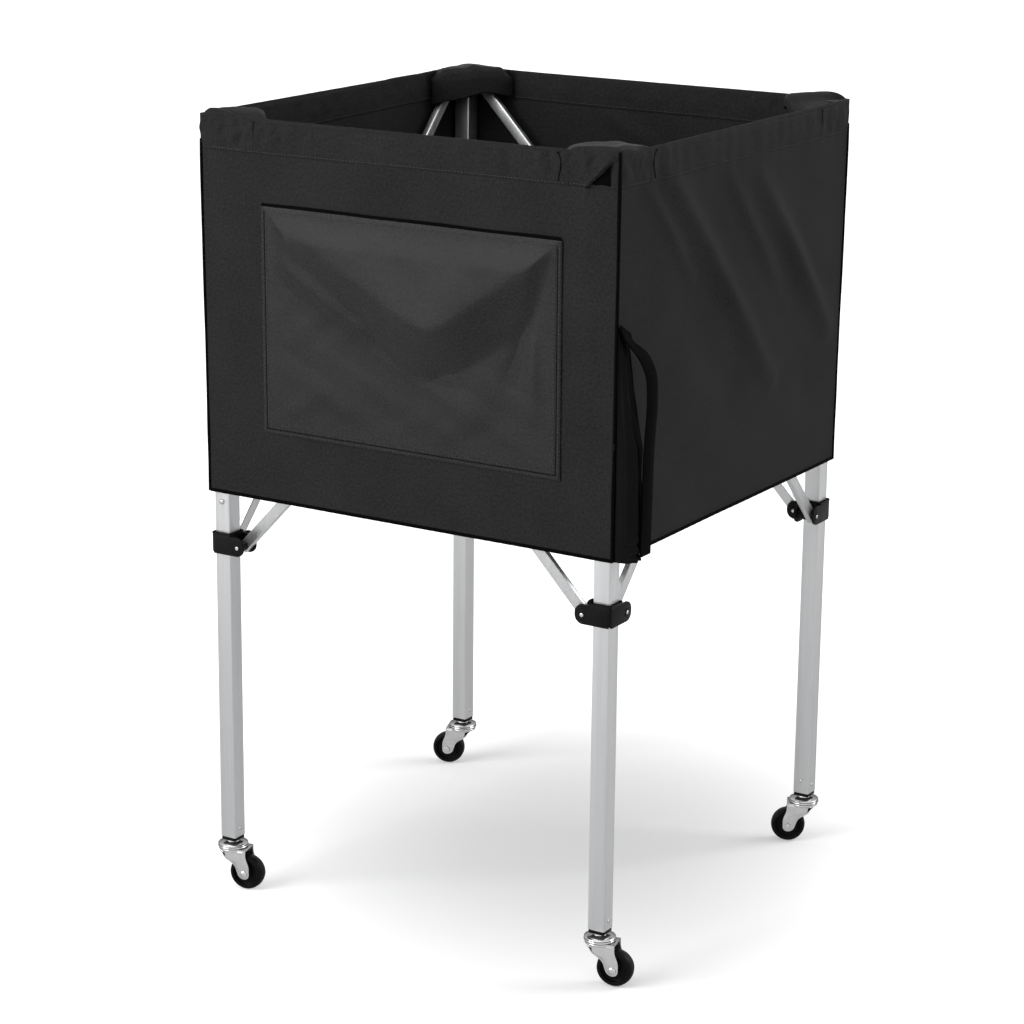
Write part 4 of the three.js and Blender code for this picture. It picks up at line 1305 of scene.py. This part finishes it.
# %% Pocket
POCKET_LEFT, POCKET_RIGHT, POCKET_FOOT, POCKET_HEAD = -0.200, 0.216, 0.610, 0.886
POCKET_SHOWN, POCKET_CUT, POCKET_WALL = (0.416, 0.276), (0.424, 0.284), 0.0011
POCKET_FOLDS = [
    ((0.03, 0.745), (0.075, 0.700), 0.022, -0.0026), ((-0.194, 0.832), (-0.05, 0.750), 0.013, 0.0040),
    ((0.090, 0.745), (0.190, 0.800), 0.015, 0.0020), ((0.203, 0.865), (0.150, 0.715), 0.011, -0.0028),
    ((0.176, 0.800), (0.184, 0.68), 0.009, 0.0016), ((0.12, 0.70), (0.05, 0.645), 0.024, 0.0014),
    ((-0.17, 0.66), (-0.03, 0.68), 0.03, 0.0012), ((-0.15, 0.875), (-0.17, 0.80), 0.010, 0.0012)]
POCKET_V, MOUTH_SHADOW_CUT = (0.045, 0.739), (0.412, 0.0046)


def pocket_depth(across, height):
    depth = face_depth(height)
    inset = np.minimum(np.minimum(across - POCKET_LEFT, POCKET_RIGHT - across), height - POCKET_FOOT)
    inset = np.minimum(inset, POCKET_HEAD + 0.004 - height)
    loose = ease(inset, 0.008, 0.045)
    slack = 0.0012 + 0.0012 * ease(inset, 0.0, 0.006) + 0.0012 * loose
    folds = sum(ridge(across, height, *fold) for fold in POCKET_FOLDS)
    beside = across - POCKET_V[0]
    slope = 0.70 + 0.10 * np.tanh(beside / 0.03)
    arms = (np.hypot(beside, 0.035) - 0.014) * slope
    above = height - POCKET_V[1] - arms + 0.006 * crumple(across, height, 3, 14)
    fading = np.exp(-(np.maximum(above - 0.018, 0) / 0.085) ** 1.35)
    lip = np.where(above > 0.018, fading, ease(above, -0.050, 0.018))
    reach = np.where(beside > 0, 0.085, 0.12)
    folds = folds + 0.0195 * lip * (0.36 + 0.64 * np.exp(-(beside / reach) ** 2)) - 0.0012
    seam = -0.0007 * np.exp(-((inset - 0.0055) / 0.0016) ** 2)
    raised = slack + seam + loose * (folds + 0.0006 * crumple(across, height, 9, 45))
    return depth + np.maximum(raised, 0.0014)


def pocket_shape(s, t):
    across = POCKET_LEFT + s * (POCKET_RIGHT - POCKET_LEFT)
    height = POCKET_FOOT + t * (POCKET_HEAD - POCKET_FOOT)
    return on_side(across, pocket_depth(across, height), height)


pocket = cloth("pocket_front_cloth", (210, 150), pocket_shape, POCKET_SHOWN, wall=POCKET_WALL)
dress(pocket, pocket_cloth, "frame_front_left", "front_pocket")

# %% Pocket seams
def pocket_line(inset, top=False):
    left, right = POCKET_LEFT + inset, POCKET_RIGHT - inset
    foot, head = POCKET_FOOT + inset, POCKET_HEAD - inset
    spots = [(left, head), (left, foot), (right, foot), (right, head)]
    if top:
        spots.append((left, head))
    line = np.concatenate([np.linspace(a, b, 120) for a, b in zip(spots, spots[1:])])
    depth = pocket_depth(line[:, 0], line[:, 1]) + 0.0001
    return np.stack((line[:, 0], -depth, line[:, 1]), axis=-1), (0, -1, 0)


sewn = stitches("pocket_stitches", [pocket_line(0.0030), pocket_line(0.0085, top=True)])
pocket_thread = dress(sewn, thread, "frame_front_left", slot="pocket_cloth")
seam = stitches("pocket_seam", [pocket_line(0.0056)], pitch=0.0030, long=0.0034, thick=0.0012)
pocket_seam = dress(seam, dark_thread, "frame_front_left", slot="pocket_cloth")


# A strip of dark webbing along the pocket's top edge is painted shadow: it stands for the shade in the gap of
# the pocket's mouth.
def mouth_shadow_shape(s, t):
    across = POCKET_LEFT + 0.002 + s * (POCKET_RIGHT - POCKET_LEFT - 0.004)
    height = POCKET_HEAD - 0.001 + 0.0046 * t + 0.0004 * np.sin(across * 40)
    return on_side(across, face_depth(height) + 0.0010 + 0.0013 * np.sin(np.pi * t), height)


mouth_shadow_strip = cloth("pocket_mouth_shadow", (120, 8), mouth_shadow_shape, MOUTH_SHADOW_CUT)
pocket_mouth_shadow = dress(mouth_shadow_strip, black_webbing, "frame_front_left", slot="pocket_cloth")

# %% [markdown]
# ## Gusset and strap
# Beside the front right corner a gathered black gusset opens the bag, and a webbing strap
# bows out over it to carry the folded cart. The gusset's pleats run down from a point and
# crush together at its foot. The strap is a thick woven tape, sewn at its top and its foot.

# %% Gusset
GUSSET_FOOT, GUSSET_TOP, GUSSET_SHOWN, GUSSET_CUT = 0.5245, 0.796, (0.075, 0.272), (0.075, 0.274)


def gusset_bulge(height):
    return np.interp(height, (BAG_FOOT, 0.545, 0.61, 0.658, 0.675, 0.70, 0.72, 0.762, GUSSET_TOP),
                     (0.0240, 0.0258, 0.0262, 0.0248, 0.0205, 0.0150, 0.0122, 0.0085, 0.0012))


def gusset_shape(s, t):
    height = GUSSET_FOOT + t * (GUSSET_TOP - GUSSET_FOOT)
    face = face_depth(height)
    width = np.interp(height, (BAG_FOOT, 0.665, 0.74, 0.775, GUSSET_TOP), (0.044, 0.040, 0.033, 0.024, 0.008))
    loose = ease(0.80 - height, 0.0, 0.06)
    pleat = np.cos(2 * np.pi * (3.5 * s + 0.22 * np.sin(11 * height) + 0.1 * np.sin(37 * height)))
    crush = ease(0.575 - height, 0, 0.04) * np.sin(height * 480 + 16 * (s - 0.4) ** 2)
    bow = np.clip(np.sin(np.pi * s ** 0.8), 0, 1) ** 0.5
    rumple = 0.0022 * crumple(s * 0.06, height * 0.35, 11, 60)
    depth = face + 0.0008 + (gusset_bulge(height) - 0.0034 * loose) * bow
    depth = depth + loose * bow * (0.0024 * pleat + 0.0018 * crush + rumple)
    across = -face + 0.0008 + width * s + loose * 0.0012 * np.sin(2 * np.pi * 4.5 * s + 1)
    return on_side(across, depth, height)


gusset = cloth("gusset_pleats", (90, 150), gusset_shape, GUSSET_SHOWN, quarter(1))
dress(gusset, black_nylon, "frame_front_right", "corner_gusset", slot="black_webbing")

# %% Strap
STRAP_WIDTH, STRAP_THICK = 0.0234, 0.0021
STRAP_SHOWN, STRAP_LENGTH = 0.275, 0.290
STRAP_WAY = np.array([(0.2905, 0.800), (0.2915, 0.788), (0.3075, 0.764), (0.3148, 0.735), (0.3154, 0.702),
                      (0.3130, 0.668), (0.3118, 0.640), (0.3113, 0.600), (0.3104, 0.550), (0.3102, 0.530)])


def smooth_way(spots, share):
    walked = np.concatenate(([0], np.cumsum(np.hypot(*np.diff(spots, axis=0).T))))
    fine = np.linspace(0, walked[-1], 400)
    line = np.stack([np.interp(fine, walked, spots[:, k]) for k in (0, 1)], axis=-1)
    for _ in range(260):
        line[1:-1] = (line[:-2] + line[1:-1] * 2 + line[2:]) / 4
    even = np.linspace(0, 1, 400)
    return np.interp(share, even, line[:, 0]), np.interp(share, even, line[:, 1])


def strap_shape(s, t):
    out, height = smooth_way(STRAP_WAY, 1 - t)
    edge = 0.0012 * np.sin(np.pi * s) * np.sin(np.pi * t)
    across = -0.2677 + s * STRAP_WIDTH - 0.0205 * ease(height, 0.735, 0.80)
    return on_side(across, out + 0.0022 + edge, height - 0.013 * s * ease(height, 0.76, 0.80))


strap = cloth("strap_webbing", (14, 140), strap_shape, (STRAP_WIDTH, STRAP_SHOWN), quarter(1), STRAP_THICK)
soften(strap, 0.0005, 2, 50)
dress(strap, black_webbing, "frame_front_right", "carry_strap")

# %% Pull tab
slider = block("slider", (0.2872, -0.2910, 0.6610), (0.2890, -0.2892, 0.6636))
soften(slider, 0.0007, 3)
tab = block("tab", (0.2873, -0.2914, 0.6572), (0.2888, -0.2908, 0.6618))
edit(tab)
pick("EDGE", lambda e: runs_along(e, 1))
bpy.ops.mesh.bevel(offset=0.0006, segments=4, affect="EDGES")
pick("FACE", lambda f: abs(f.normal.y) > 0.99)
bpy.ops.mesh.inset(thickness=0.0004, depth=-0.0001)
done()
pull = joined("pull_tab", [slider, soften(tab, 0.0002, 2)])
dress(pull, black_moulding, "frame_front_right")

# %% [markdown]
# ## Floor of the bag
# Two stiffened leaves close the bottom. They meet across the middle and fold up when the cart
# is pushed together. Each is a board covered with the bag's cloth, with its corners cut off
# for the legs and a bound, stitched edge.

# %% Floor leaves
LEAF_HALF, LEAF_GAP, LEAF_LOW, LEAF_HIGH, LEAF_CORNER = 0.2812, 0.0002, 0.5254, 0.5276, 0.1412
EDGE_UP, LEAF_CUT, LEAF_AREA = 0.5277, (0.5624, 0.281), 0.1400


def floor_leaf():
    piece = block("leaf", (-LEAF_HALF, -LEAF_HALF, LEAF_LOW), (LEAF_HALF, -LEAF_GAP, LEAF_HIGH))
    edit(piece)
    pick("EDGE", lambda e: runs_along(e, 2) and middle_of(e).y < -0.2)
    bpy.ops.mesh.bevel(offset=LEAF_CORNER, segments=1, affect="EDGES")
    pick("FACE", lambda f: abs(f.normal.z) > 0.99)
    bpy.ops.mesh.inset(thickness=0.009, depth=0)
    bpy.ops.mesh.inset(thickness=0.0012, depth=-0.0004)
    done()
    return soften(piece, 0.0004, 2, 25)


def flat_map(piece):
    layer = piece.data.uv_layers.get("UVMap") or piece.data.uv_layers.new(name="UVMap")
    for loop in piece.data.loops:
        place = piece.data.vertices[loop.vertex_index].co
        layer.data[loop.index].uv = (place.x, place.y)


leaf_form = floor_leaf()
edge = ((-0.134, -0.275), (0.134, -0.275), (0.275, -0.134), (0.275, -0.007), (-0.275, -0.007),
        (-0.275, -0.134), (-0.134, -0.275))
edge_line = [(x, y, EDGE_UP) for x, y in edge]
leaves = {}
for turn, side in ((0, "front"), (2, "rear")):
    leaf = copied(leaf_form, f"{side}_floor_leaf", quarter(turn))
    flat_map(leaf)
    dress(leaf, bag_cloth, f"floor_{side}", f"{side}_floor_half")
    sewn = stitches(f"{side}_floor_stitches", [(moved(edge_line, quarter(turn)), (0, 0, 1))])
    leaves[side] = (leaf, dress(sewn, thread, f"floor_{side}", slot="bag_cloth"))
drop(leaf_form)

# %% [markdown]
# ## What folds with the cart
# When two legs are pushed together the cloth between them crumples. Here each soft piece only
# gets its own copy of its mesh and moves with its body as the cart folds.

# %% Folding
for side in SIDES:
    for piece in (panels[side], hems[side], hem_threads[side], bindings[side]):
        fold_up(piece)
for piece in (pocket, pocket_thread, pocket_seam, pocket_mouth_shadow):
    fold_up(piece)
for leaf, sewn in leaves.values():
    for piece in (leaf, sewn):
        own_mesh(piece)
print("cloth follows the folding frame")

# %% [markdown]
# ## The end

# %% End
print("all pieces built")
